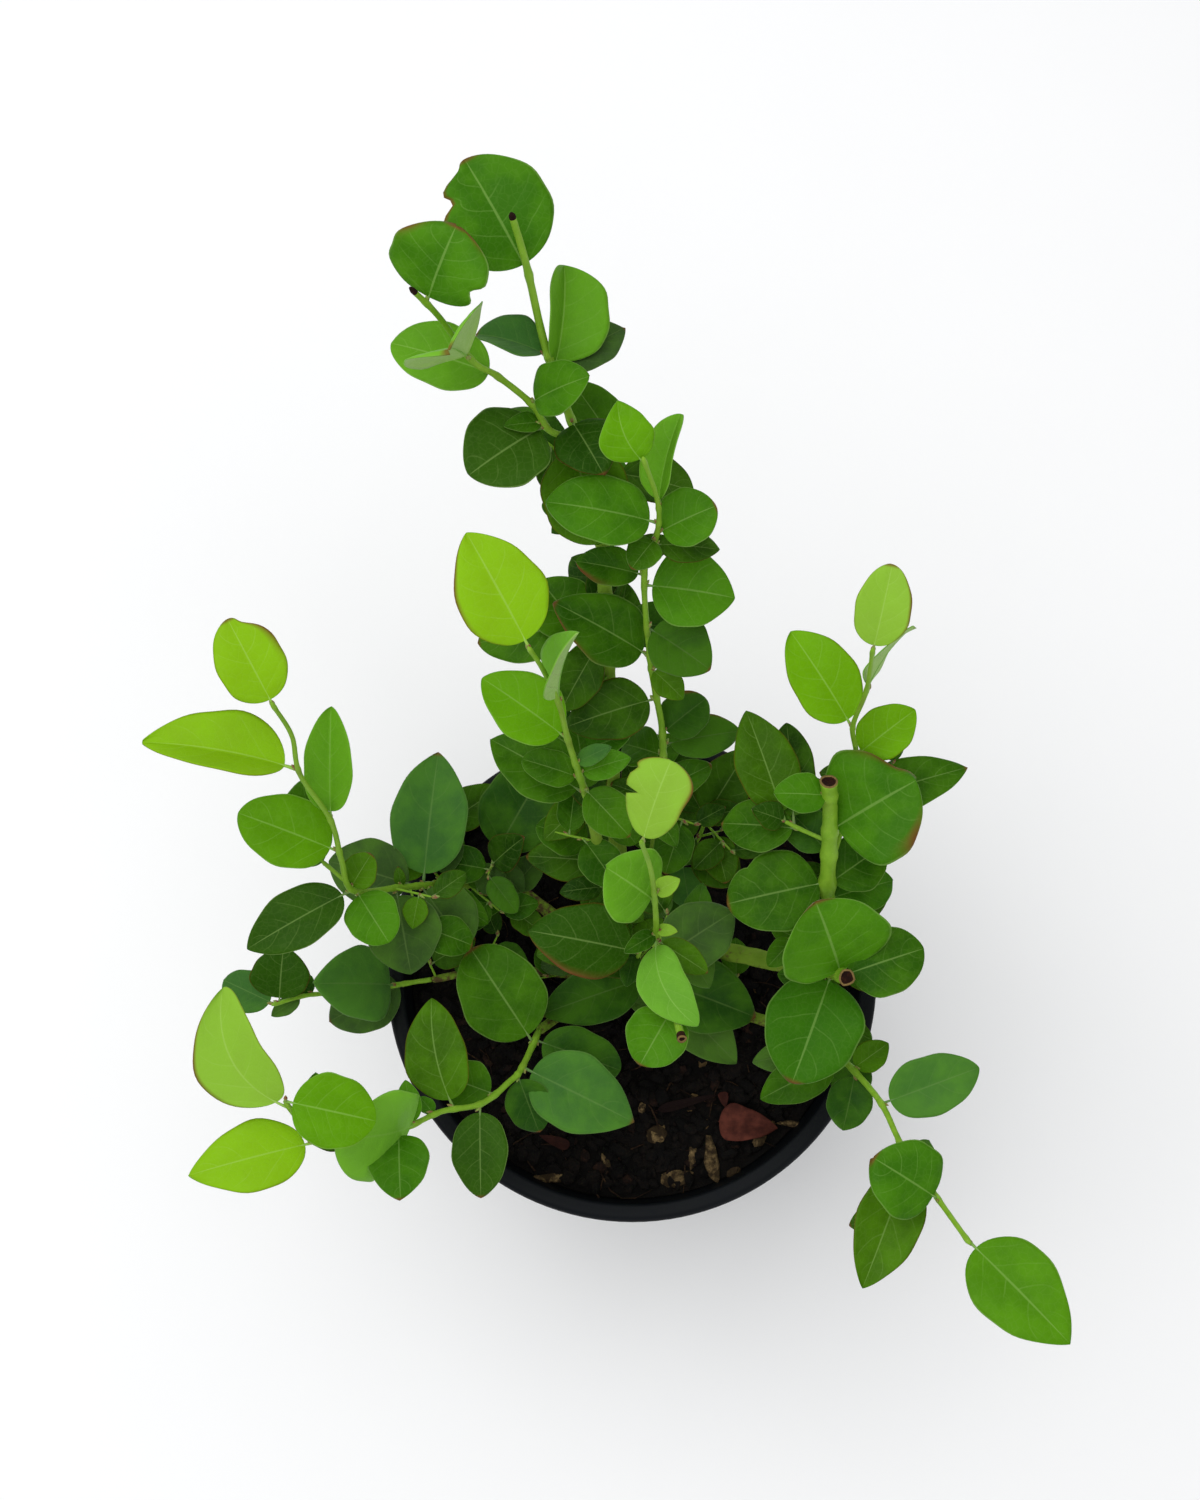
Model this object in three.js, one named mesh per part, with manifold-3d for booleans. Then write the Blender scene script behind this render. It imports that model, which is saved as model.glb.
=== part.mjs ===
// Young blueberry bush in a round nursery pot.
// Millimetres, +Z up, origin at the centre of the pot's flat underside.
// +Y is the back, where the tallest shoots lean, and +X is the right.
import * as THREE from "three";
import { mergeVertices } from "three/addons/utils/BufferGeometryUtils.js";
import Module from "manifold-3d";

const wasm = await Module();
wasm.setup();

// ---- Driving dimensions ----
const POT_HEIGHT = 160;
const POT_RIM_RADIUS = 82.5;
const POT_FOOT_RADIUS = 62;
const POT_WALL = 2;
const LIP_HEIGHT = 11;
const LIP_WIDTH = 5;
const LIP_ROUND = 1.5;
const DRAIN_HOLES = 6;
const DRAIN_RADIUS = 6;
const DRAIN_CIRCLE = 46;
const POT_SIDES = 32;

const SOIL_TOP = 146;
const SOIL_BUMP = 1.6;

const CROWN_TOP_RADIUS = 8;
const CROWN_FLARE = 4.5;
const CROWN_SHOULDER = 2.2;   // how much the crown rounds in at its top
const CROWN_SUNK = 3;         // how far it goes down into the soil
const CROWN_HEIGHT = 15;
const CROWN_CENTRE = [0, 1];

const GAP = 0.3;              // clearance between neighbouring solids
const CANE_SIDES = 6;
const CANE_STEP = 11;
const SHOOT_SIDES = 5;
const SHOOT_STEP = 9;
const TWIG_SIDES = 4;
const TWIG_STEP = 9;

const LEAF_CLEARANCE = 2;     // what a leaf keeps from another shoot's leaves
const SAME_SHOOT_CLEARANCE = 1;
const LIMB_CLEARANCE = 0.8;
const LEAF_THICKNESS = 0.9;   // at the midrib, thinning to the margin
const LEAF_FOLD = 14;         // how far each half of the blade rises from the midrib, in degrees
const LEAF_DROOP = 30;        // how far a blade bends down from its foot to its tip, in degrees
const PETIOLE_RADIUS = 0.55;
const TILTS = [0, 6, -6, 12, -12, 18, -18, 24, -24, 30, -30];

// Stations along a leaf from its foot to its tip, and the blade's half width there as a share.
const LEAF_STATIONS = [0, 0.09, 0.2, 0.4, 0.65, 0.86, 1];
const LEAF_WIDTHS = [0, 0, 0.7, 1, 0.93, 0.54, 0];

// ---- The plant's own sizes ----
// A limb starts at a point, or at a share of an earlier limb's length, and follows its legs.
// Each leg is [bearing, rise, length]: degrees from +X, degrees above level, millimetres.
// thick is the diameter at the limb's foot and at its end.
const CANES = {
  cane_back: {
    foot: [-1, 6, 150], thick: [6.4, 3.6],
    legs: [[98, 63, 62], [96, 55, 49], [92, 57, 42], [95, 54, 43], [111, 53, 31]],
  },
  cane_inner_back: { foot: [4, 5, 150], thick: [5, 3.2], legs: [[84, 59, 58], [85, 62, 43]] },
  cane_back_left: { foot: [-4, 4, 150], thick: [5, 3.2], legs: [[104, 71, 63], [108, 71, 53]] },
  cane_centre: { foot: [4.5, -1, 150], thick: [4.6, 2.8], legs: [[-2, 88, 70], [-138, 88, 40]] },
  cane_left: {
    foot: [-6, 3, 150], thick: [5, 3.2],
    legs: [[142, 18, 33], [151, 31, 23], [215, 41, 12], [191, 52, 16]],
  },
  cane_low_left: { foot: [-6, -1, 150], thick: [3.6, 2.6], legs: [[177, 8, 39], [190, 17, 24]] },
  cane_front_left: { foot: [-3, -5, 150], thick: [4.4, 3.2], legs: [[-156, 27, 22], [-139, 58, 24]] },
  cane_right: {
    foot: [5, 0.5, 150], thick: [7.2, 5.6],
    legs: [[29, 38, 21], [-17, 48, 15], [-19, 46, 27], [-14, 54, 18]],
  },
  cane_front_right: {
    foot: [3, -4.5, 150], thick: [5, 3.4], legs: [[-14, 21, 22], [-21, 30, 28], [-27, 50, 28]],
  },
};

// A shoot is a stem with its leaves. from names the limb that carries it and where on it.
// Each leaf is [place on the stem, bearing, rise, length, width], and where it isn't like the
// rest { fold, roll, bow }: degrees, degrees, and its sideways curve as a share of its length.
const SHOOTS = {
  shoot_back_right: {
    from: ["cane_back", 1], thick: [3.4, 2.6], legs: [[118, 58, 29], [109, 60, 27], [115, 63, 17]],
    leaves: [
      [0.62, 121, 18, 33, 29], [0.24, 84, 15, 28, 27, { fold: 42, roll: 38 }],
      [0.24, 36, -10, 24, 14], [0.3, 163, 2, 20, 16, { fold: 22, roll: 30 }], [0.04, -62, 10, 19, 18],
    ],
  },
  shoot_back_left: {
    from: ["cane_back", 0.98], thick: [2.8, 2.2],
    legs: [[183, 48, 11], [139, 58, 11], [163, 57, 16], [176, 59, 12], [141, 55, 17], [156, 59, 13]],
    leaves: [
      [0.9, 62, 36, 21, 27, { fold: 10 }], [0.68, -118, 77, 25, 28, { fold: 27, roll: 66 }], [0.5, 164, 6, 29, 18],
      [0.2, -142, 12, 26, 24], [0.22, -165, 14, 12, 6], [0.03, -76, -32, 31, 25],
      [0.34, 10, 8, 20, 15],
    ],
  },
  shoot_inner_back: {
    from: ["cane_inner_back", 1], thick: [3.1, 1.8],
    legs: [[97, 66, 21], [108, 65, 19], [105, 65, 17], [96, 52, 28], [66, 66, 20], [99, 75, 16],
      [128, 70, 19]],
    leaves: [
      [0.74, 174, 16, 32, 20], [0.98, 117, 28, 18, 15, { bow: -0.12 }],
      [0.81, 76, 18, 26, 14, { fold: 38, roll: -35 }], [0.7, 22, 14, 18, 17], [0.66, -2, -10, 19, 11],
      [0.68, -125, 15, 12, 10], [0.57, 167, -4, 20, 12], [0.55, -8, -2, 26, 24], [0.48, -34, -5, 22, 19],
      [0.42, 155, 16, 33, 21], [0.25, -162, 0, 28, 19],
      [0.38, -43, -8, 13, 9], [0.12, 37, 12, 17, 15], [0.08, 12, -10, 25, 14],
      [0.04, 155, -12, 17, 14],
    ],
  },
  shoot_upper_left: {
    from: ["cane_back_left", 1], thick: [3.1, 1.8],
    legs: [[119, 75, 20], [114, 66, 18], [109, 68, 18], [123, 62, 16], [136, 65, 12]],
    leaves: [
      [0.97, 120, 20, 36, 25], [0.61, 68, 55, 27, 17, { fold: 35, roll: -70 }], [0.4, 146, 12, 30, 20],
      [0.17, 164, 12, 18, 11], [0.05, 150, 2, 33, 21], [0.1, -46, -10, 20, 14], [0.2, 15, 12, 16, 9],
      [0.26, 22, 24, 12, 6],
    ],
  },
  shoot_centre: {
    from: ["cane_centre", 1], thick: [2.7, 1.8], legs: [[99, 77, 29], [107, 78, 31], [122, 74, 21]],
    leaves: [
      [0.96, 70, 24, 24, 18, { roll: -15 }], [0.4, 150, 34, 19, 23], [0.47, 25, 30, 9, 6],
      [0.06, -66, 6, 29, 15, { bow: 0.15 }], [0.1, -146, 28, 13, 6], [0.13, -10, 40, 8, 4],
      [0.03, -32, -8, 18, 9],
    ],
  },
  shoot_centre_front: {
    from: ["cane_centre", 0.62], thick: [2.6, 2.4], legs: [[-79, 57, 24], [-79, 49, 26]],
    leaves: [[0.7, -120, 4, 20, 19], [0.12, 33, 0, 27, 21]],
  },
  shoot_left: {
    from: ["cane_left", 1], thick: [3.1, 1.8],
    legs: [[202, 63, 22], [201, 64, 28], [103, 72, 21], [97, 67, 22], [124, 66, 26], [95, 59, 16],
      [122, 64, 16]],
    leaves: [
      [0.98, 118, 22, 27, 19], [0.73, 171, 6, 44, 24, { fold: 28, roll: 24 }],
      [0.57, 88, 25, 34, 17, { fold: 34 }], [0.46, 160, 10, 32, 22], [0.29, -151, -5, 37, 19],
      [0.3, 56, 22, 13, 11], [0.27, -57, 2, 19, 17], [0.07, 163, -10, 31, 22], [0.04, 84, 4, 44, 26],
      [0.05, -54, -4, 25, 23], [0.15, -80, -12, 28, 25], [0.13, 100, 50, 7, 4],
      [0.02, -31, -18, 24, 11],
    ],
  },
  shoot_left_low: {
    from: ["cane_left", 0.48], thick: [2.4, 1.8], legs: [[60, 78, 10], [65, 74, 8]],
    leaves: [[0.9, 60, 6, 34, 27], [0.65, -103, -4, 12, 11], [0.6, -47, -16, 15, 10]],
  },
  shoot_low_left: {
    from: ["cane_low_left", 1], thick: [2.5, 1.8],
    legs: [[190, 13, 9], [193, 27, 20], [187, 37, 15], [199, 31, 14]],
    leaves: [
      [0.3, -175, 48, 36, 26], [0.24, -155, -12, 30, 21], [0.95, 85, 14, 19, 20],
      [0.98, 155, 2, 19, 14], [0.72, 140, 20, 11, 8], [0.8, -148, -5, 12, 6],
    ],
  },
  shoot_front_left: {
    from: ["cane_front_left", 1], thick: [3.1, 2],
    legs: [[-111, 48, 21], [-129, 42, 8], [-139, 39, 14], [-166, 40, 16], [-153, 38, 16],
      [-168, 43, 19], [-169, 48, 13], [124, 52, 22]],
    leaves: [
      [0.98, 119, 15, 40, 22, { roll: -10, bow: -0.18 }], [0.88, -165, 8, 38, 21, { roll: 5 }],
      [1, -12, -12, 27, 22], [0.58, -166, 50, 32, 32, { fold: 8, roll: -45 }], [0.63, -86, 0, 22, 19],
      [0.59, 99, 12, 14, 8], [0.52, 130, 30, 7, 5], [0.46, 102, 5, 35, 20, { bow: -0.06 }],
      [0.32, 160, -9, 19, 16], [0.38, -89, -3, 29, 18], [0.12, -26, 1, 40, 26], [0.17, -69, -16, 20, 15],
      [0.04, 124, 8, 37, 28], [0.03, -19, -9, 30, 18],
    ],
  },
  shoot_right_stub: {
    from: ["cane_right", 1], thick: [5.4, 4.6],
    legs: [[87, 67, 22], [92, 66, 18], [93, 54, 30], [99, 57, 20]],
    leaves: [
      [0.74, 28, 13, 30, 36], [0.92, 180, 14, 17, 12], [0.56, 35, -6, 22, 18], [0.5, 18, -20, 24, 16],
      [0.57, -168, -3, 31, 25], [0.66, 128, -18, 20, 14],
    ],
  },
  shoot_right_top: {
    from: ["shoot_right_stub", 0.6], thick: [2.6, 1.8],
    legs: [[73, 11, 20], [84, 48, 19], [129, 77, 24], [82, 83, 30], [104, 79, 27]],
    leaves: [
      [0.98, 78, 25, 24, 15], [0.8, 52, 36, 23, 16, { fold: 10, roll: -97 }], [0.59, 124, 13, 33, 20],
      [0.41, 37, 9, 22, 16], [0.22, 17, -2, 38, 16],
    ],
  },
  shoot_right_cut: {
    from: ["cane_right", 0.98], thick: [5, 4.2], legs: [[-44, 74, 21], [-68, 79, 25]],
    leaves: [
      [0.8, 114, 26, 28, 35], [0.5, -111, 4, 37, 31], [0.84, 18, 4, 26, 22],
    ],
  },
  shoot_front_right: {
    from: ["cane_front_right", 1], thick: [3.1, 2.2],
    legs: [[-55, 54, 21], [-58, 44, 17], [-72, 44, 19], [-64, 46, 24], [-63, 48, 22]],
    leaves: [
      [0.4, 20, 8, 32, 19], [0.81, 149, 18, 24, 24], [0.65, -112, 3, 41, 21, { fold: 22 }],
      [0.98, -47, 12, 40, 25], [0.1, -153, -8, 29, 15], [0.2, -102, -14, 19, 15], [0.18, 35, 10, 14, 10],
      [0.03, -169, 6, 26, 13],
    ],
  },
  sprig_back_middle: {
    from: ["cane_back", 0.57], thick: [2, 1.5], legs: [[150, 30, 8], [140, 20, 6]],
    leaves: [[0.95, -172, -8, 29, 19], [0.6, 129, 0, 21, 20], [0.25, -120, -12, 22, 15]],
  },
  sprig_right_back: {
    from: ["shoot_right_stub", 0.7], thick: [2, 1.5], legs: [[154, -10, 8], [155, 9, 7]],
    leaves: [
      [0.97, 109, 6, 35, 19], [0.75, 92, -10, 33, 15], [0.95, 165, 20, 12, 9], [0.6, 172, -16, 25, 17],
    ],
  },
  sprig_middle: {
    from: ["crown", 0.95], thick: [2.4, 1.6], legs: [[-31, 88, 36], [-46, 88, 28]],
    leaves: [[0.92, 170, 9, 36, 24]],
  },
  sprig_front_right: {
    from: ["crown", 0.5], thick: [2.2, 1.6], legs: [[-35, 66, 13], [-38, 76, 12]],
    leaves: [[0.7, -160, 4, 39, 20], [0.92, -21, 3, 37, 25], [0.86, -44, -12, 41, 20]],
  },
  sprig_back_right: {
    from: ["crown", 0.7], thick: [2.6, 1.6], legs: [[65, 47, 35], [56, 46, 28], [72, 53, 10]],
    leaves: [
      [0.98, 120, 6, 27, 16], [0.9, 178, 0, 14, 14], [0.5, -81, -6, 15, 14], [0.67, -140, 14, 15, 6],
      [0.93, 57, 10, 27, 18], [0.99, 5, 32, 14, 9], [0.6, -40, 0, 19, 16], [0.45, 130, 6, 24, 16],
    ],
  },
  sprig_back_left: {
    from: ["cane_back_left", 0.28], thick: [2.2, 1.6], legs: [[80, 25, 10], [90, 40, 10]],
    leaves: [
      [0.97, 176, 3, 30, 16], [0.3, -150, -20, 14, 11], [0.95, 142, -16, 34, 18],
    ],
  },
};

// Short side twigs low in the bush, each turned to where the most of its leaves are in shade.
// Each is [carrier, share of its length, rise, length].
const SIDE_TWIGS = {
  twig_back_low: ["cane_back", 0.3, 25, 26],
  twig_back_middle: ["cane_back", 0.5, 25, 26],
  twig_back_high: ["cane_back", 0.7, 20, 26],
  twig_back_top: ["cane_back", 0.88, 10, 22],
  twig_inner_back: ["cane_inner_back", 0.7, 20, 26],
  twig_upper_left_low: ["cane_back_left", 0.55, 25, 26],
  twig_upper_left_high: ["cane_back_left", 0.85, 20, 26],
  twig_centre: ["cane_centre", 0.8, 15, 24],
  twig_left_low: ["cane_left", 0.7, 20, 20],
  twig_left: ["shoot_left", 0.4, 10, 22],
  twig_front_left: ["shoot_front_left", 0.7, 5, 22],
  twig_right_low: ["cane_right", 0.8, 20, 24],
  twig_right: ["shoot_right_stub", 0.45, 15, 26],
  twig_front_right_low: ["cane_front_right", 0.8, 20, 22],
  twig_front_right: ["shoot_front_right", 0.55, 5, 22],
};
const TWIG_THICK = [1.9, 1.2];
const TWIG_SEED = 41;
const TWIG_TURNS = 18;             // bearings that a side twig tries
const TWIG_LEAF_STEP = 5.6;        // stem between one leaf and the next
const LEAF_TURN = 137.5;           // each leaf sits this far round the stem from the last
const TWIG_LEAF_RISE = [-10, 20];
const TWIG_LEAF_LENGTH = [17, 27];
const TWIG_LEAF_WIDTH = 0.58;      // as a share of the length
const TWIG_LEAST_LEAVES = 2;
const TWIG_SHIFTS = [0, 0.06, -0.06]; // how far it may slide along its carrier
const LEAST_HIDDEN_PARTS = 5;      // of the six parts of a leaf that are tried for shade
const OPEN_SKY = [-11, -79, 920];  // side twigs keep out of sight of this point over the plant

// ---- Materials ----
const potPlastic = new THREE.MeshStandardMaterial({ color: 0x1b1c20, roughness: 0.42, metalness: 0 });
const pottingMix = new THREE.MeshStandardMaterial({ color: 0x2e211a, roughness: 0.95, metalness: 0 });
const bark = new THREE.MeshStandardMaterial({ color: 0x6d6a45, roughness: 0.8, metalness: 0 });
const foliage = new THREE.MeshStandardMaterial({ color: 0x5f8a3c, roughness: 0.55, metalness: 0 });

// ---- Helpers ----
const radians = THREE.MathUtils.degToRad;
const plant = new THREE.Group();

function direction(bearing, rise) {
  const level = Math.cos(radians(rise));
  return new THREE.Vector3(
    level * Math.cos(radians(bearing)), level * Math.sin(radians(bearing)), Math.sin(radians(rise)));
}

// A seeded stream of numbers between low and high.
function seededRange(seed) {
  let state = seed;
  return ([low, high]) => {
    state = (Math.imul(state, 1664525) + 1013904223) >>> 0;
    return low + (high - low) * (state / 2 ** 32);
  };
}

function solidOf(geometry) {
  const bare = geometry.clone();
  bare.deleteAttribute("normal");
  bare.deleteAttribute("uv");
  const merged = mergeVertices(bare, 1e-3);
  return new wasm.Manifold(new wasm.Mesh({
    numProp: 3,
    vertProperties: Float32Array.from(merged.attributes.position.array),
    triVerts: Uint32Array.from(merged.index.array),
  }));
}

// The largest body of a solid, so that a scrap left by a cut is dropped.
function largestBody(solid) {
  const bodies = solid.decompose();
  return bodies.reduce((best, body) => (body.volume() > best.volume() ? body : best));
}

function addNode(name, solid, material) {
  const { vertProperties, triVerts } = solid.getMesh();
  const geometry = new THREE.BufferGeometry();
  geometry.setAttribute("position", new THREE.BufferAttribute(Float32Array.from(vertProperties), 3));
  geometry.setIndex(new THREE.BufferAttribute(Uint32Array.from(triVerts), 1));
  geometry.computeVertexNormals();
  const mesh = new THREE.Mesh(geometry, material);
  mesh.name = name;
  plant.add(mesh);
}

// Moves every vertex of a geometry to place(x, share of the height, z).
function reshape(geometry, place) {
  const position = geometry.attributes.position;
  for (let i = 0; i < position.count; i += 1) {
    const point = place(position.getX(i), position.getY(i) + 0.5, position.getZ(i));
    position.setXYZ(i, point.x, point.y, point.z);
  }
  return geometry;
}

// ---- Limbs: a tapering round limb along a smooth path through its legs ----
function makeLimb(start, legs, thick) {
  const points = [start.clone()];
  for (const [bearing, rise, length] of legs) {
    points.push(points.at(-1).clone().addScaledVector(direction(bearing, rise), length));
  }
  const curve = new THREE.CatmullRomCurve3(points, false, "catmullrom", 0.5);
  const length = legs.reduce((sum, leg) => sum + leg[2], 0);
  const radiusAt = (share) => THREE.MathUtils.lerp(thick[0], thick[1], share) / 2;
  return { curve, length, radiusAt };
}

// One frame for each ring of a limb, carried along the path without twisting.
function limbFrames(curve, steps) {
  const frames = [];
  let side = new THREE.Vector3(1, 0, 0);
  for (let i = 0; i <= steps; i += 1) {
    const centre = curve.getPoint(i / steps);
    const ahead = curve.getPoint(Math.min(1, (i + 0.5) / steps));
    const behind = curve.getPoint(Math.max(0, (i - 0.5) / steps));
    const along = ahead.sub(behind).normalize();
    side = side.clone().addScaledVector(along, -side.dot(along)).normalize();
    frames.push({ centre, along, side, other: side.clone().cross(along) });
  }
  return frames;
}

// sides and step set how finely a limb is faceted; grow makes it thicker and longer all round.
function limbSolid(limb, sides, step, grow = 0) {
  const steps = Math.max(3, Math.round(limb.length / step));
  const frames = limbFrames(limb.curve, steps);
  const tube = new THREE.CylinderGeometry(1, 1, 1, sides, steps);
  return solidOf(reshape(tube, (x, share, z) => {
    const { centre, along, side, other } = frames[Math.round(share * steps)];
    const radius = limb.radiusAt(share) + grow;
    const end = (share > 0.999 ? grow : 0) - (share < 0.001 ? grow : 0);
    return centre.clone().addScaledVector(along, end)
      .addScaledVector(side, x * radius).addScaledVector(other, z * radius);
  }));
}

// ---- Leaves ----
function makeLeaf(stem, foot, [, bearing, rise, length, width, shape = {}], tilt) {
  const { fold = LEAF_FOLD, roll = 0, bow = 0 } = shape;
  const along = direction(bearing, rise + tilt);
  const level = new THREE.Vector3(Math.sin(radians(bearing)), -Math.cos(radians(bearing)), 0);
  const side = level.applyAxisAngle(along, radians(roll));
  return { stem, foot, length, width, fold, bow, along, side, up: side.clone().cross(along) };
}

// A point of the blade: across runs from -1 to 1, and above lifts it off the blade.
function leafPoint(leaf, station, across, above) {
  const bend = radians(LEAF_DROOP);
  const turned = bend * (station - 0.5);
  const forward = (leaf.length / bend) * (Math.sin(turned) + Math.sin(bend / 2));
  const lift = (leaf.length / bend) * (Math.cos(turned) - Math.cos(bend / 2));
  const half = (leaf.width / 2) * Math.abs(across);
  const fold = radians(leaf.fold);
  const sideways = Math.sign(across) * half * Math.cos(fold)
    + leaf.bow * leaf.length * 4 * station * (1 - station);
  return leaf.foot.clone().addScaledVector(leaf.along, forward)
    .addScaledVector(leaf.up, lift + half * Math.sin(fold) + above)
    .addScaledVector(leaf.side, sideways);
}

// A closed thin blade, diamond-shaped across, on a short square stalk.
function leafSolid(leaf) {
  const last = LEAF_STATIONS.length - 1;
  const blade = new THREE.CylinderGeometry(0, 1, 1, 4, last);
  return solidOf(reshape(blade, (x, share, z) => {
    const row = Math.round(share * last);
    const station = LEAF_STATIONS[row];
    if (row === last) return leafPoint(leaf, station, 0, 0);
    const across = Math.abs(x) < 1e-6 ? 0 : Math.sign(x);
    const level = Math.abs(z) < 1e-6 ? 0 : Math.sign(z);
    const onStalk = row < 2;
    const reach = onStalk ? PETIOLE_RADIUS / (leaf.width / 2) : LEAF_WIDTHS[row];
    const above = level * (onStalk ? PETIOLE_RADIUS : LEAF_THICKNESS / 2);
    return leafPoint(leaf, station, across * reach, above);
  }));
}

// Lines that stand for a leaf when it is tried against its neighbours, five to a row.
function leafLines(leaf) {
  const at = (row, across) => leafPoint(leaf, LEAF_STATIONS[row], across * LEAF_WIDTHS[row], 0);
  const lines = [];
  for (let row = 2; row < LEAF_STATIONS.length; row += 1) {
    lines.push([at(row - 1, 0), at(row, 0)]);
    for (const across of [-1, 1]) {
      lines.push([at(row - 1, across), at(row, across)]);
      lines.push([at(row, 0), at(row, across)]);
    }
  }
  return lines;
}

// Shortest distance between two straight lines of finite length.
function lineGap([a0, a1], [b0, b1]) {
  const clamp = THREE.MathUtils.clamp;
  const a = a1.clone().sub(a0);
  const b = b1.clone().sub(b0);
  const r = a0.clone().sub(b0);
  const aa = Math.max(a.dot(a), 1e-9);
  const bb = Math.max(b.dot(b), 1e-9);
  const ab = a.dot(b);
  const ar = a.dot(r);
  const br = b.dot(r);
  const spread = aa * bb - ab * ab;
  let s = spread > 1e-9 ? clamp((ab * br - ar * bb) / spread, 0, 1) : 0;
  const t = clamp((ab * s + br) / bb, 0, 1);
  s = clamp((ab * t - ar) / aa, 0, 1);
  return a.multiplyScalar(s).add(r).addScaledVector(b, -t).length();
}

function tooClose(lines, others, clearance) {
  return lines.some((line) => others.some((other) => lineGap(line, other) < clearance));
}

// Lines along a limb, with the radius to keep clear of.
function limbLines(limb) {
  const count = Math.ceil(limb.length / 8);
  return Array.from({ length: count }, (_, i) => ({
    line: [limb.curve.getPoint(i / count), limb.curve.getPoint((i + 1) / count)],
    radius: limb.radiusAt(i / count),
  }));
}

// ---- Pot: a tapering wall with a turned-over lip, a flat floor and drain holes ----
function wallRadius(height) {
  const under = POT_RIM_RADIUS - LIP_WIDTH + POT_WALL / 2;
  return THREE.MathUtils.lerp(POT_FOOT_RADIUS, under, height / POT_HEIGHT);
}

function turned(profile) {
  const points = profile.map(([radius, height]) => new THREE.Vector2(radius, height));
  return new THREE.LatheGeometry(points, POT_SIDES).rotateX(Math.PI / 2);
}

function buildPot() {
  const lipFoot = POT_HEIGHT - LIP_HEIGHT;
  let pot = solidOf(turned([
    [0, 0],
    [POT_FOOT_RADIUS - POT_WALL, 0],
    [POT_FOOT_RADIUS, POT_WALL],
    [wallRadius(lipFoot), lipFoot],
    [POT_RIM_RADIUS - LIP_ROUND, lipFoot],
    [POT_RIM_RADIUS, lipFoot + LIP_ROUND],
    [POT_RIM_RADIUS, POT_HEIGHT - LIP_ROUND],
    [POT_RIM_RADIUS - LIP_ROUND, POT_HEIGHT],
    [wallRadius(POT_HEIGHT) - POT_WALL + LIP_ROUND / 2, POT_HEIGHT],
    [wallRadius(POT_HEIGHT) - POT_WALL, POT_HEIGHT - LIP_ROUND],
    [wallRadius(POT_WALL) - POT_WALL, POT_WALL],
    [0, POT_WALL],
  ]));
  for (let i = 0; i < DRAIN_HOLES; i += 1) {
    const hole = new THREE.CylinderGeometry(DRAIN_RADIUS, DRAIN_RADIUS, POT_WALL * 4, 12);
    const angle = (2 * Math.PI * i) / DRAIN_HOLES;
    hole.rotateX(Math.PI / 2);
    hole.translate(DRAIN_CIRCLE * Math.cos(angle), DRAIN_CIRCLE * Math.sin(angle), POT_WALL / 2);
    pot = pot.subtract(solidOf(hole));
  }
  return pot;
}

function soilHeight(x, y) {
  const wave = Math.sin(x * 0.11 + 1) * Math.cos(y * 0.13) + 0.5 * Math.sin(x * 0.23 - y * 0.19);
  return SOIL_TOP + (SOIL_BUMP / 1.5) * wave;
}

function buildSoil() {
  const inside = (height) => wallRadius(height) - POT_WALL - GAP / Math.cos(Math.PI / POT_SIDES);
  const floor = POT_WALL + GAP;
  const edge = inside(SOIL_TOP);
  const rings = [1, 0.75, 0.5, 0.25].map((share) => [edge * share, SOIL_TOP]);
  const mix = turned([[0, floor], [inside(floor), floor], ...rings, [0, SOIL_TOP]]);
  const position = mix.attributes.position;
  for (let i = 0; i < position.count; i += 1) {
    const radius = Math.hypot(position.getX(i), position.getY(i));
    const settled = THREE.MathUtils.clamp(2 - (2 * radius) / edge, 0, 1);
    if (position.getZ(i) > SOIL_TOP - 1) {
      const height = soilHeight(position.getX(i), position.getY(i));
      position.setZ(i, THREE.MathUtils.lerp(SOIL_TOP, height, settled));
    }
  }
  return solidOf(mix);
}

// ---- Plant ----
// The crown is the short stump at soil level that every cane springs from.
function makeCrown() {
  const foot = new THREE.Vector3(...CROWN_CENTRE, SOIL_TOP - CROWN_SUNK);
  const crown = makeLimb(foot, [[90, 90, CROWN_HEIGHT + CROWN_SUNK]], [1, 1]);
  crown.radiusAt = (share) => (
    CROWN_TOP_RADIUS + CROWN_FLARE * (1 - share) ** 2 - CROWN_SHOULDER * Math.max(0, share - 0.7) / 0.3);
  return crown;
}

const limbs = {};
const fatLimbs = {};
const grownLeaves = [];
const masses = {};

// Cuts a solid 0.3 mm clear of every limb already made.
function clearOfLimbs(solid, except = "") {
  const box = solid.boundingBox();
  let cut = solid;
  for (const [name, fat] of Object.entries(fatLimbs)) {
    const other = fat.boundingBox();
    const apart = [0, 1, 2].some((k) => other.min[k] > box.max[k] || other.max[k] < box.min[k]);
    if (!apart && name !== except) cut = cut.subtract(fat);
  }
  return largestBody(cut);
}

function growLimb(name, limb, sides, step, carrier = "") {
  const solid = clearOfLimbs(limbSolid(limb, sides, step));
  limbs[name] = { ...limb, carrier };
  fatLimbs[name] = limbSolid(limb, sides, step, GAP);
  return solid;
}

function hitsLeaf(leaf, others) {
  return others.some((other) => {
    const reach = (other.length + leaf.length) / 2 + LEAF_CLEARANCE;
    if (other.middle.distanceTo(leaf.middle) > reach) return false;
    return other.stem === leaf.stem
      ? tooClose(leaf.lines.slice(5), other.lines.slice(5), SAME_SHOOT_CLEARANCE)
      : tooClose(leaf.lines, other.lines, LEAF_CLEARANCE);
  });
}

// The foot of a leaf may lie on its own stem, on its stem's carrier and on what its stem carries.
function hitsLimb(leaf, { name, carrier }) {
  return Object.entries(limbs).some(([other, limb]) => {
    const near = other === name || other === carrier || limb.carrier === name;
    const lines = leaf.lines.slice(near ? 10 : 1);
    return limbLines(limb).some(({ line, radius }) => (
      tooClose(lines, [line], radius + LIMB_CLEARANCE)));
  });
}

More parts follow.
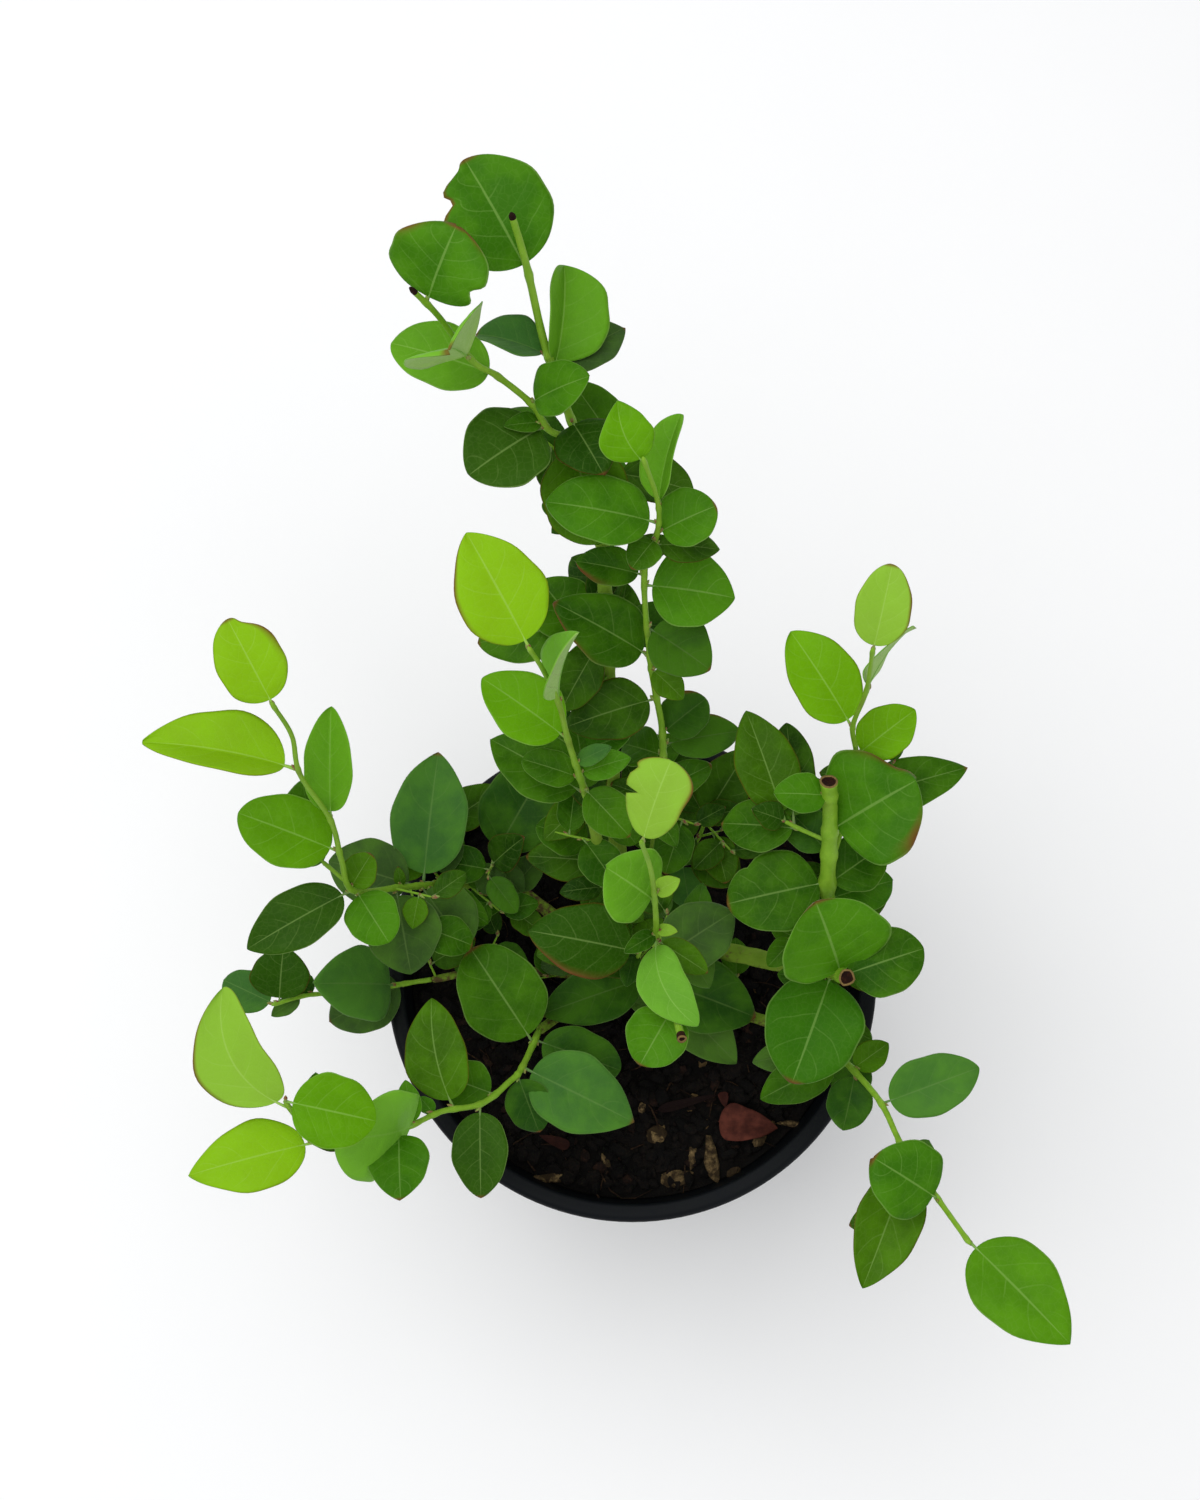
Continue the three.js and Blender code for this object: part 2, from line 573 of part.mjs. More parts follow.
// Where a point's shadow falls on the soil, as seen from the open sky.
function shadow(point) {
  const sky = new THREE.Vector3(...OPEN_SKY);
  const share = (sky.z - SOIL_TOP) / (sky.z - point.z);
  return [sky.x + (point.x - sky.x) * share, sky.y + (point.y - sky.y) * share];
}

function outlineShadow(leaf) {
  const rows = LEAF_STATIONS.map((station, row) => [station, LEAF_WIDTHS[row]]).slice(1);
  const right = rows.map(([station, across]) => shadow(leafPoint(leaf, station, across, 0)));
  const left = rows.map(([station, across]) => shadow(leafPoint(leaf, station, -across, 0)));
  return [...right, ...left.reverse()];
}

function insideOutline([x, y], outline) {
  let inside = false;
  outline.forEach(([x1, y1], i) => {
    const [x0, y0] = outline.at(i - 1);
    if ((y0 > y) !== (y1 > y) && x < x0 + ((x1 - x0) * (y - y0)) / (y1 - y0)) inside = !inside;
  });
  return inside;
}

function inShade(point) {
  const spot = shadow(point);
  return grownLeaves.some((other) => other.middle.z > point.z && insideOutline(spot, other.outline));
}

function leafInShade(leaf) {
  const parts = [[0.3, 0.8], [0.3, -0.8], [0.6, 0.9], [0.6, -0.9], [0.85, 0], [1, 0]];
  const hidden = parts.filter(([station, across]) => inShade(leafPoint(leaf, station, across, 0)));
  return hidden.length >= LEAST_HIDDEN_PARTS;
}

// A leaf is tilted a little at a time until it clears every neighbour, or else left off.
function tryLeaf(stem, row, others, mustHide) {
  for (const tilt of TILTS) {
    const leaf = makeLeaf(stem.name, stem.limb.curve.getPoint(row[0]), row, tilt);
    leaf.lines = leafLines(leaf);
    leaf.middle = leafPoint(leaf, 0.5, 0, 0);
    const fits = !hitsLeaf(leaf, others) && !hitsLimb(leaf, stem);
    if (fits && (!mustHide || leafInShade(leaf))) {
      leaf.outline = outlineShadow(leaf);
      return leaf;
    }
  }
  return null;
}

function keepLeaf(name, leaf) {
  grownLeaves.push(leaf);
  masses[name] = masses[name].add(leafSolid(leaf));
}

// The rows of leaves of a side twig, one after another round its stem.
function twigLeafRows(length, bearing, range) {
  const count = Math.floor(length / TWIG_LEAF_STEP);
  return Array.from({ length: count }, (_, i) => {
    const long = range(TWIG_LEAF_LENGTH);
    const width = long * TWIG_LEAF_WIDTH;
    return [(i + 1) / count, bearing + LEAF_TURN * i, range(TWIG_LEAF_RISE), long, width];
  });
}

function twigIsClear(twig, carrier) {
  const lines = limbLines(twig).slice(1).map(({ line }) => line);
  const points = [0.6, 1].map((share) => twig.curve.getPoint(share));
  const clearance = TWIG_THICK[0] / 2 + LIMB_CLEARANCE;
  const hits = Object.entries(limbs).some(([name, limb]) => (
    name !== carrier
    && limbLines(limb).some(({ line, radius }) => tooClose(lines, [line], radius + clearance))));
  const cut = grownLeaves.some((leaf) => tooClose(leaf.lines, lines, clearance));
  return !hits && !cut && points.every(inShade);
}

// Tries a side twig all the way round its carrier and keeps the leafiest way that is in shade.
function growSideTwig(name, [carrier, share, rise, length], range) {
  let best = { leaves: [] };
  for (const shift of TWIG_SHIFTS) {
    for (let turn = 0; turn < TWIG_TURNS; turn += 1) {
      const bearing = (360 / TWIG_TURNS) * turn;
      const start = limbs[carrier].curve.getPoint(share + shift);
      const limb = makeLimb(start, [[bearing, rise, length]], TWIG_THICK);
      const stem = { name, carrier, limb };
      const rows = twigLeafRows(length, bearing, range);
      const leaves = [];
      for (const row of twigIsClear(limb, carrier) ? rows : []) {
        const leaf = tryLeaf(stem, row, [...grownLeaves, ...leaves], true);
        if (leaf) leaves.push(leaf);
      }
      if (leaves.length > best.leaves.length) best = { limb, leaves };
    }
  }
  if (best.leaves.length < TWIG_LEAST_LEAVES) return;
  masses[name] = growLimb(name, best.limb, TWIG_SIDES, TWIG_STEP, carrier);
  for (const leaf of best.leaves) keepLeaf(name, leaf);
}

const crown = makeCrown();
addNode("pot", buildPot(), potPlastic);
addNode("soil", buildSoil().subtract(limbSolid(crown, 12, 3, GAP)), pottingMix);
addNode("crown", growLimb("crown", crown, 12, 3), bark);

for (const [name, { foot, legs, thick }] of Object.entries(CANES)) {
  const limb = makeLimb(new THREE.Vector3(...foot), legs, thick);
  addNode(name, growLimb(name, limb, CANE_SIDES, CANE_STEP), bark);
}

for (const [name, { from: [carrier, share], legs, thick }] of Object.entries(SHOOTS)) {
  const limb = makeLimb(limbs[carrier].curve.getPoint(share), legs, thick);
  masses[name] = growLimb(name, limb, SHOOT_SIDES, SHOOT_STEP, carrier);
}
for (const [name, { from: [carrier], leaves }] of Object.entries(SHOOTS)) {
  for (const row of leaves) {
    const leaf = tryLeaf({ name, carrier, limb: limbs[name] }, row, grownLeaves, false);
    if (leaf) keepLeaf(name, leaf);
  }
}

const range = seededRange(TWIG_SEED);
for (const [name, row] of Object.entries(SIDE_TWIGS)) growSideTwig(name, row, range);

for (const [name, mass] of Object.entries(masses)) addNode(name, clearOfLimbs(mass, name), foliage);

export default plant;
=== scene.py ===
"""Young blueberry bush in a round nursery pot.

The plant grows here by the same rule as its solids: canes from a crown, leafy shoots on the canes,
and short side twigs turned into the shade. Lengths are millimetres until a mesh is made.
"""
import math
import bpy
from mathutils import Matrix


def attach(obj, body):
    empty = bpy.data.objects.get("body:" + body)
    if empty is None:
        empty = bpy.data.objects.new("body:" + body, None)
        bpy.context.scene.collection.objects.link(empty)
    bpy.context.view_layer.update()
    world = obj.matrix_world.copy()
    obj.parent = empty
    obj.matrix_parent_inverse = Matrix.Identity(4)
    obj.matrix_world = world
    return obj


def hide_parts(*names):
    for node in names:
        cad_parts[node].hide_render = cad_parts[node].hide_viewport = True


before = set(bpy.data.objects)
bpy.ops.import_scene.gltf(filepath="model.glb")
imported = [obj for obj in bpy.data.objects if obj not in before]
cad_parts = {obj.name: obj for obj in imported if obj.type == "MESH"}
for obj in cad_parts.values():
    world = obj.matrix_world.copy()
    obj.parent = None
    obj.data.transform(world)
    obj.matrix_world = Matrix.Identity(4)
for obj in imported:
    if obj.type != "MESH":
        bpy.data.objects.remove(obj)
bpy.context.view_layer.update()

from types import SimpleNamespace

import bmesh
import bpy
import numpy as np
from mathutils import Vector, noise

MM = 0.001

# ---- Camera, floor and light ----
CAMERA_AT = (-0.010686, -0.078664, 0.920)
CAMERA_TILT = 11.5             # degrees off straight down, looking towards the back
CAMERA_LENS = 54.308
FLOOR_SIZE = 6.0
SOFTBOX_SIZE = 1.6
LIT_SPOT = (0, 0, 0.2)
SKY = ((0.97, 0.98, 1, 1), 0.53)


def linked(name, data, finishes=()):
    """Links an object with this data into the scene."""
    for finish in finishes:
        data.materials.append(finish)
    made = bpy.data.objects.new(name, data)
    bpy.context.scene.collection.objects.link(made)
    return made


def add_camera():
    camera = linked("camera", bpy.data.cameras.new("camera"))
    camera.location = CAMERA_AT
    camera.rotation_euler = (math.radians(CAMERA_TILT), 0, 0)
    camera.data.lens = CAMERA_LENS
    camera.data.clip_start = 0.01
    bpy.context.scene.camera = camera


def add_softbox(name, place, power):
    lamp = linked(name, bpy.data.lights.new(name, "AREA"))
    lamp.data.size = SOFTBOX_SIZE
    lamp.data.energy = power
    lamp.location = place
    lamp.rotation_euler = (Vector(LIT_SPOT) - Vector(place)).to_track_quat("-Z", "Y").to_euler()


def add_daylight():
    world = bpy.data.worlds.new("daylight")
    world.use_nodes = True
    sky = world.node_tree.nodes["Background"].inputs
    sky["Color"].default_value, sky["Strength"].default_value = SKY
    bpy.context.scene.world = world
    bpy.context.scene.view_settings.view_transform = "Standard"
    add_softbox("overhead_softbox", (-0.45, 0.25, 1.7), 20)
    add_softbox("front_softbox", (0.9, -1.3, 1.2), 5)


def add_floor():
    bm = bmesh.new()
    bmesh.ops.create_grid(bm, x_segments=1, y_segments=1, size=FLOOR_SIZE / 2)
    object_from(bm, "floor", [floor_finish()])


# ---- Meshes ----
def object_from(bm, name, finishes):
    """Makes an object of a bmesh, whose lengths are metres by now, and frees the bmesh."""
    mesh = bpy.data.meshes.new(name)
    bm.to_mesh(mesh)
    bm.free()
    return linked(name, mesh, finishes)


def scaled_object(bm, name, finishes):
    """A smooth object from a bmesh in millimetres."""
    bmesh.ops.scale(bm, vec=(MM, MM, MM), verts=bm.verts)
    for face in bm.faces:
        face.smooth = True
    return object_from(bm, name, finishes)


def dress(piece, slot, *nodes):
    """Puts a finished piece on the part's root and hides the nodes it stands for. slot is not used.
    """
    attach(piece, "root")
    if nodes:
        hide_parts(*nodes)


def add_tube(bm, sides, rings, end=1):
    """Adds a closed tube of radius 1, from -0.5 to 0.5 high, and gives its points."""
    first = len(bm.verts)
    bmesh.ops.create_cone(bm, cap_ends=True, segments=sides, radius1=1, radius2=end, depth=1)
    bm.verts.ensure_lookup_table()
    long = {e for v in bm.verts[first:] for e in v.link_edges
            if abs(e.verts[0].co.z - e.verts[1].co.z) > 0.5}
    bmesh.ops.subdivide_edges(bm, edges=list(long), cuts=rings - 1)
    bm.verts.ensure_lookup_table()
    return bm.verts[first:]


class Blank:
    """One small shape as arrays, ready to be copied many times with every corner moved."""

    def __init__(self, bm):
        bm.verts.index_update()
        self.points = np.array([v.co[:] for v in bm.verts])
        self.sizes = np.array([len(f.verts) for f in bm.faces])
        self.corners = np.array([v.index for f in bm.faces for v in f.verts])
        self.kinds = np.array([f.material_index for f in bm.faces])
        self.starts = np.concatenate([[0], np.cumsum(self.sizes)[:-1]])
        bm.free()

    def roughened(self, pick, most):
        """The points, each moved in or out by up to this share."""
        return self.points * (1 + pick.uniform(-most, most, (len(self.points), 1)))


def ball_blank(subdivisions):
    bm = bmesh.new()
    bmesh.ops.create_icosphere(bm, subdivisions=subdivisions, radius=1)
    return Blank(bm)


def join_copies(name, blank, copies, finishes, values=None, maps=None, smooth=True):
    """Joins copies of a blank, each an array of its moved points in millimetres, into one object.

    values holds one number a point for each named attribute, and maps the corners' places.
    """
    count, points, corners = len(copies), len(blank.points), len(blank.corners)
    mesh = bpy.data.meshes.new(name)
    mesh.vertices.add(count * points)
    mesh.vertices.foreach_set("co", (np.concatenate(copies) * MM).ravel())
    step = np.arange(count)[:, None]
    mesh.loops.add(count * corners)
    mesh.loops.foreach_set("vertex_index", (blank.corners + step * points).ravel())
    mesh.polygons.add(count * len(blank.sizes))
    mesh.polygons.foreach_set("loop_start", (blank.starts + step * corners).ravel())
    mesh.polygons.foreach_set("material_index", np.tile(blank.kinds, count))
    mesh.update(calc_edges=True)
    mesh.polygons.foreach_set("use_smooth", np.full(count * len(blank.sizes), smooth))
    for key, numbers in (values or {}).items():
        attribute = mesh.attributes.new(key, "FLOAT", "POINT")
        attribute.data.foreach_set("value", np.concatenate(numbers))
    for key, places in (maps or {}).items():
        layer = mesh.uv_layers.new(name=key)
        layer.data.foreach_set("uv", np.concatenate(places).ravel())
    return linked(name, mesh, finishes)


# ---- Finishes ----
class Wire:
    """A value on its way between two nodes. Arithmetic on it adds the nodes that do the sum."""

    def __init__(self, finish, socket):
        self.finish, self.socket = finish, socket

    def math(self, operation, other=0.0):
        return self.finish.add("ShaderNodeMath", 0, {0: self, 1: other}, operation=operation)

    def __add__(self, other):
        return self.math("ADD", other)

    def __sub__(self, other):
        return self.math("SUBTRACT", other)

    def __mul__(self, other):
        return self.math("MULTIPLY", other)

    def step(self, low, high):
        """Smoothly 0 to 1 as the value goes from low to high, which may lie below low."""
        inputs = {"Value": self, "From Min": low, "From Max": high}
        return self.finish.add("ShaderNodeMapRange", 0, inputs, interpolation_type="SMOOTHSTEP")

    def mix(self, a, b):
        """The colour a where the value is 0, and b where it is 1."""
        return self.finish.add("ShaderNodeMix", 2, {0: self, 6: a, 7: b}, data_type="RGBA")


class Finish:
    """A material in the making. Most calls add one node and give back its output."""

    def __init__(self, name, roughness=0.5, specular=0.5, sheen=0.0):
        self.material = bpy.data.materials.new(name)
        self.material.use_nodes = True
        self.tree = self.material.node_tree
        self.shader = self.tree.nodes["Principled BSDF"]
        self.feed(self.shader, {"Roughness": roughness, "Specular IOR Level": specular,
                                "Sheen Weight": sheen})
        self.place = self.add("ShaderNodeTexCoord", "Object")

    def feed(self, node, inputs):
        for key, value in inputs.items():
            if isinstance(value, Wire):
                self.tree.links.new(value.socket, node.inputs[key])
            else:
                node.inputs[key].default_value = value

    def add(self, kind, output=0, inputs=None, **settings):
        node = self.tree.nodes.new(kind)
        for key, value in settings.items():
            setattr(node, key, value)
        self.feed(node, inputs or {})
        return Wire(self, node.outputs[output])

    def noise(self, scale, detail=4.0, rough=0.55, squash=1):
        inputs = {"Vector": self.squashed(squash), "Scale": scale, "Detail": detail,
                  "Roughness": rough}
        return self.add("ShaderNodeTexNoise", "Fac", inputs)

    def cells(self, scale, feature="F1", output="Distance", squash=1):
        inputs = {"Vector": self.squashed(squash), "Scale": scale}
        return self.add("ShaderNodeTexVoronoi", output, inputs, feature=feature)

    def squashed(self, share):
        """Places whose heights count for a share of what they are, so that patterns run upwards."""
        if share == 1:
            return self.place
        return self.add("ShaderNodeMapping", 0, {"Vector": self.place, "Scale": (1, 1, share)})

    def part(self, vector, axis):
        return self.add("ShaderNodeSeparateXYZ", axis, {0: vector})

    def attribute(self, name):
        return self.add("ShaderNodeAttribute", "Fac", attribute_name=name)

    def made(self, colour, height=None, depth=0, strength=0, roughness=None):
        """The finished material, with its colour and, where given, its relief and roughness."""
        self.feed(self.shader, {"Base Color": colour})
        if height:
            relief = {"Height": height, "Distance": depth, "Strength": strength}
            self.feed(self.shader, {"Normal": self.add("ShaderNodeBump", 0, relief)})
        if roughness:
            self.feed(self.shader, {"Roughness": roughness})
        return self.material


def rgb(red, green, blue):
    """A colour given as seen on a screen, made linear."""
    linear = [c / 12.92 if c <= 0.04045 else ((c + 0.055) / 1.055) ** 2.4
              for c in (red, green, blue)]
    return (*linear, 1)


def mixed(a, b, share):
    return tuple(x + (y - x) * share for x, y in zip(a, b))


def floor_finish():
    finish = Finish("floor_paper", roughness=0.9, specular=0.2)
    return finish.made(finish.noise(8).mix(rgb(0.98, 0.98, 0.98), rgb(0.99, 0.99, 0.99)))


def plastic_finish():
    """Satin black moulded plastic, with a fine skin, scuffs and patches of dust."""
    finish = Finish("pot_plastic", specular=0.12)
    cloud = finish.noise(28, 5)
    scuffs = finish.noise(260, 6, squash=0.2).step(0.6, 0.78)
    body = cloud.mix(rgb(0.018, 0.028, 0.04), rgb(0.035, 0.05, 0.07))
    dusty = (cloud.step(0.5, 0.8) * 0.3).mix(body, rgb(0.06, 0.072, 0.088))
    colour = (scuffs * 0.08).mix(dusty, rgb(0.22, 0.24, 0.27))
    rough = cloud * 0.2 + 0.46 + scuffs * 0.15
    return finish.made(colour, finish.noise(1500, 3), 0.00006, 0.5, rough)


def crumb_finish(name, dark, light, scale=700):
    """Moist bark and peat: broken colour from crumb to crumb and a rough grain."""
    finish = Finish(name, specular=0.15)
    patch = finish.cells(scale * 0.35, output="Color")
    value = finish.add("ShaderNodeSeparateColor", 0, {0: patch})
    grain = finish.noise(scale, 6, 0.7)
    colour = (grain.step(0.35, 0.75) * value).mix(rgb(*dark), rgb(*light))
    return finish.made(colour, grain, 0.0006, 0.9, grain.step(-0.9, 0.75))


def dead_leaf_finish():
    finish = Finish("dead_leaf", roughness=0.8, specular=0.1)
    share = finish.noise(200, 5, 0.6).step(0.3, 0.7)
    mottle = share.mix(rgb(0.22, 0.1, 0.08), rgb(0.37, 0.19, 0.15))
    colour = finish.attribute("shade").mix(mottle, rgb(0.08, 0.035, 0.03))
    return finish.made(colour, finish.noise(500, 4), 0.0003, 0.6)


def bark_finish():
    """Young bark: olive green under grey-brown cork that runs in streaks and thickens downwards."""
    finish = Finish("bark", roughness=0.75, specular=0.2)
    low = finish.part(finish.place, "Z").step(0.2, 0.148)
    streaks = finish.noise(420, 6, 0.65, squash=0.16)
    cork = (streaks + low * 0.26).step(0.6, 0.8)
    green = finish.noise(160).mix(rgb(0.37, 0.51, 0.1), rgb(0.53, 0.65, 0.2))
    brown = finish.noise(300).mix(rgb(0.25, 0.2, 0.1), rgb(0.42, 0.36, 0.2))
    spots = finish.cells(420, squash=0.6).step(0.2, 0.1) * 0.3
    colour = spots.mix(cork.mix(green, brown), rgb(0.56, 0.54, 0.32))
    return finish.made(colour, streaks + spots, 0.0005, 0.8)


def stem_finish():
    """Green growth, lighter on its ridges, with pale dots and a brown flush in streaks."""
    finish = Finish("green_stem", specular=0.2)
    streaks = finish.noise(500, 5, 0.6, squash=0.12)
    skin = streaks.mix(rgb(0.37, 0.56, 0.08), rgb(0.55, 0.71, 0.2))
    flush = finish.noise(45, 3).step(0.55, 0.75) * 0.45
    dots = finish.cells(900).step(0.16, 0.08) * 0.28
    colour = dots.mix(flush.mix(skin, rgb(0.42, 0.4, 0.16)), rgb(0.72, 0.76, 0.52))
    return finish.made(colour, streaks, 0.0002, 0.6)


def cut_wood_finish():
    """The dried end of a pruned stem: brown rings round a dark pith."""
    finish = Finish("cut_wood", roughness=0.85, specular=0.25)
    grain = finish.noise(900, 6, 0.7)
    return finish.made(grain.mix(rgb(0.22, 0.14, 0.08), rgb(0.6, 0.5, 0.28)), grain, 0.0003, 0.8)


def bud_finish():
    finish = Finish("bud_scales", specular=0.4)
    colour = finish.noise(900, 4).step(0.4, 0.65).mix(rgb(0.5, 0.6, 0.26), rgb(0.5, 0.27, 0.2))
    return finish.made(colour, finish.noise(1600, 3), 0.0001, 0.6)


SIDE_VEINS = 4.4       # how many side veins leave the midrib on each side
VEIN_SWEEP = 0.3       # how far towards the tip a side vein has run when it reaches the margin
VEIN_BEND = 1.3
VEIN_SHIFT = 1.5       # how far the veins of one leaf are set off from the next one's


def vein_lines(finish):
    """Masks on a blade: the midrib, the side veins, the margin and how far out a spot lies."""
    places = finish.add("ShaderNodeUVMap", uv_map="blade")
    along = finish.part(places, "Y")
    signed = finish.part(places, "X") * 2.0 - 1.0
    out = signed.math("ABSOLUTE")
    swept = out.math("POWER", VEIN_BEND) * VEIN_SWEEP
    phase = (along - swept) * SIDE_VEINS + finish.attribute("lighter") * VEIN_SHIFT
    turned = phase + signed.math("SIGN") * 0.25
    away = (turned + finish.noise(75, 2) * 0.45).math("PINGPONG", 0.5)
    faint = out.step(0.97, 0.7) * along.step(0.98, 0.85) * finish.noise(110, 2).step(0.25, 0.6)
    return SimpleNamespace(side=away.step(0.042, 0.01) * faint, midrib=out.step(0.034, 0.012),
                           margin=out.step(0.955, 0.99), away=away, out=out)


def blade_finish(name, top, light, vein, margin, bloom):
    """The upper face of a leaf. light is the colour towards its margin, and bloom its waxy haze."""
    finish = Finish(name, specular=0.06, sheen=bloom)
    lines = vein_lines(finish)
    clouds = finish.noise(95, 3).step(0.32, 0.7)
    share = clouds * 0.8 + finish.attribute("lighter") * 3.0 + lines.out * 0.25
    mesh = finish.cells(520, "DISTANCE_TO_EDGE").step(0.09, 0.02)
    panel = (mesh * 0.06).mix(share.mix(top, light), vein)
    veined = (lines.side * 0.24).mix(panel, vein)
    ribbed = (lines.midrib * 0.55).mix(veined, vein)
    edged = (lines.margin * 0.6).mix(ribbed, margin)
    colour = finish.attribute("browned").mix(edged, rgb(0.42, 0.25, 0.13))
    swell = lines.away.math("MINIMUM", 0.25) * 1.4
    height = swell + finish.noise(420, 4) * 0.5 - mesh * 0.12
    return finish.made(colour, height, 0.00022, 0.7, clouds * 0.12 + 0.46)


def underside_finish(name, pale):
    """The lower face of a leaf: matt and pale, with its veins standing out."""
    finish = Finish(name, roughness=0.7, specular=0.3, sheen=0.15)
    lines = vein_lines(finish)
    panel = finish.noise(140, 3).mix(pale, mixed(pale, rgb(0.66, 0.78, 0.42), 0.5))
    mesh = finish.cells(520, "DISTANCE_TO_EDGE").step(0.1, 0.02)
    panel = (mesh * 0.2).mix(panel, rgb(0.66, 0.78, 0.46))
    veined = (lines.side * 0.5).mix(panel, rgb(0.72, 0.82, 0.5))
    colour = finish.attribute("browned").mix(veined, rgb(0.45, 0.3, 0.17))
    return finish.made(colour, lines.side + mesh * 0.3, 0.0002, 0.8)


def rib_finish(name, colour, tip):
    finish = Finish(name, specular=0.4)
    return finish.made(finish.noise(300, 3).mix(colour, tip), finish.noise(1400, 3), 0.0001, 0.5)


# ---- The plant's own sizes ----
# A limb starts at a point, or at a share of an earlier limb's length, and follows its legs.
# Each leg is [bearing, rise, length]: degrees from +X, degrees above level, millimetres.
# thick is the diameter at the limb's foot and at its end.
SOIL_TOP = 146
CROWN_TOP_RADIUS = 8
CROWN_FLARE = 4.5
CROWN_SHOULDER = 2.2
CROWN_SUNK = 3
CROWN_HEIGHT = 15
CROWN_CENTRE = [0, 1]

CANES = {
    "cane_back": ([-1, 6, 150], [6.4, 3.6],
                  [[98, 63, 62], [96, 55, 49], [92, 57, 42], [95, 54, 43], [111, 53, 31]]),
    "cane_inner_back": ([4, 5, 150], [5, 3.2], [[84, 59, 58], [85, 62, 43]]),
    "cane_back_left": ([-4, 4, 150], [5, 3.2], [[104, 71, 63], [108, 71, 53]]),
    "cane_centre": ([4.5, -1, 150], [4.6, 2.8], [[-2, 88, 70], [-138, 88, 40]]),
    "cane_left": ([-6, 3, 150], [5, 3.2],
                  [[142, 18, 33], [151, 31, 23], [215, 41, 12], [191, 52, 16]]),
    "cane_low_left": ([-6, -1, 150], [3.6, 2.6], [[177, 8, 39], [190, 17, 24]]),
    "cane_front_left": ([-3, -5, 150], [4.4, 3.2], [[-156, 27, 22], [-139, 58, 24]]),
    "cane_right": ([5, 0.5, 150], [7.2, 5.6],
                   [[29, 38, 21], [-17, 48, 15], [-19, 46, 27], [-14, 54, 18]]),
    "cane_front_right": ([3, -4.5, 150], [5, 3.4], [[-14, 21, 22], [-21, 30, 28], [-27, 50, 28]]),
}

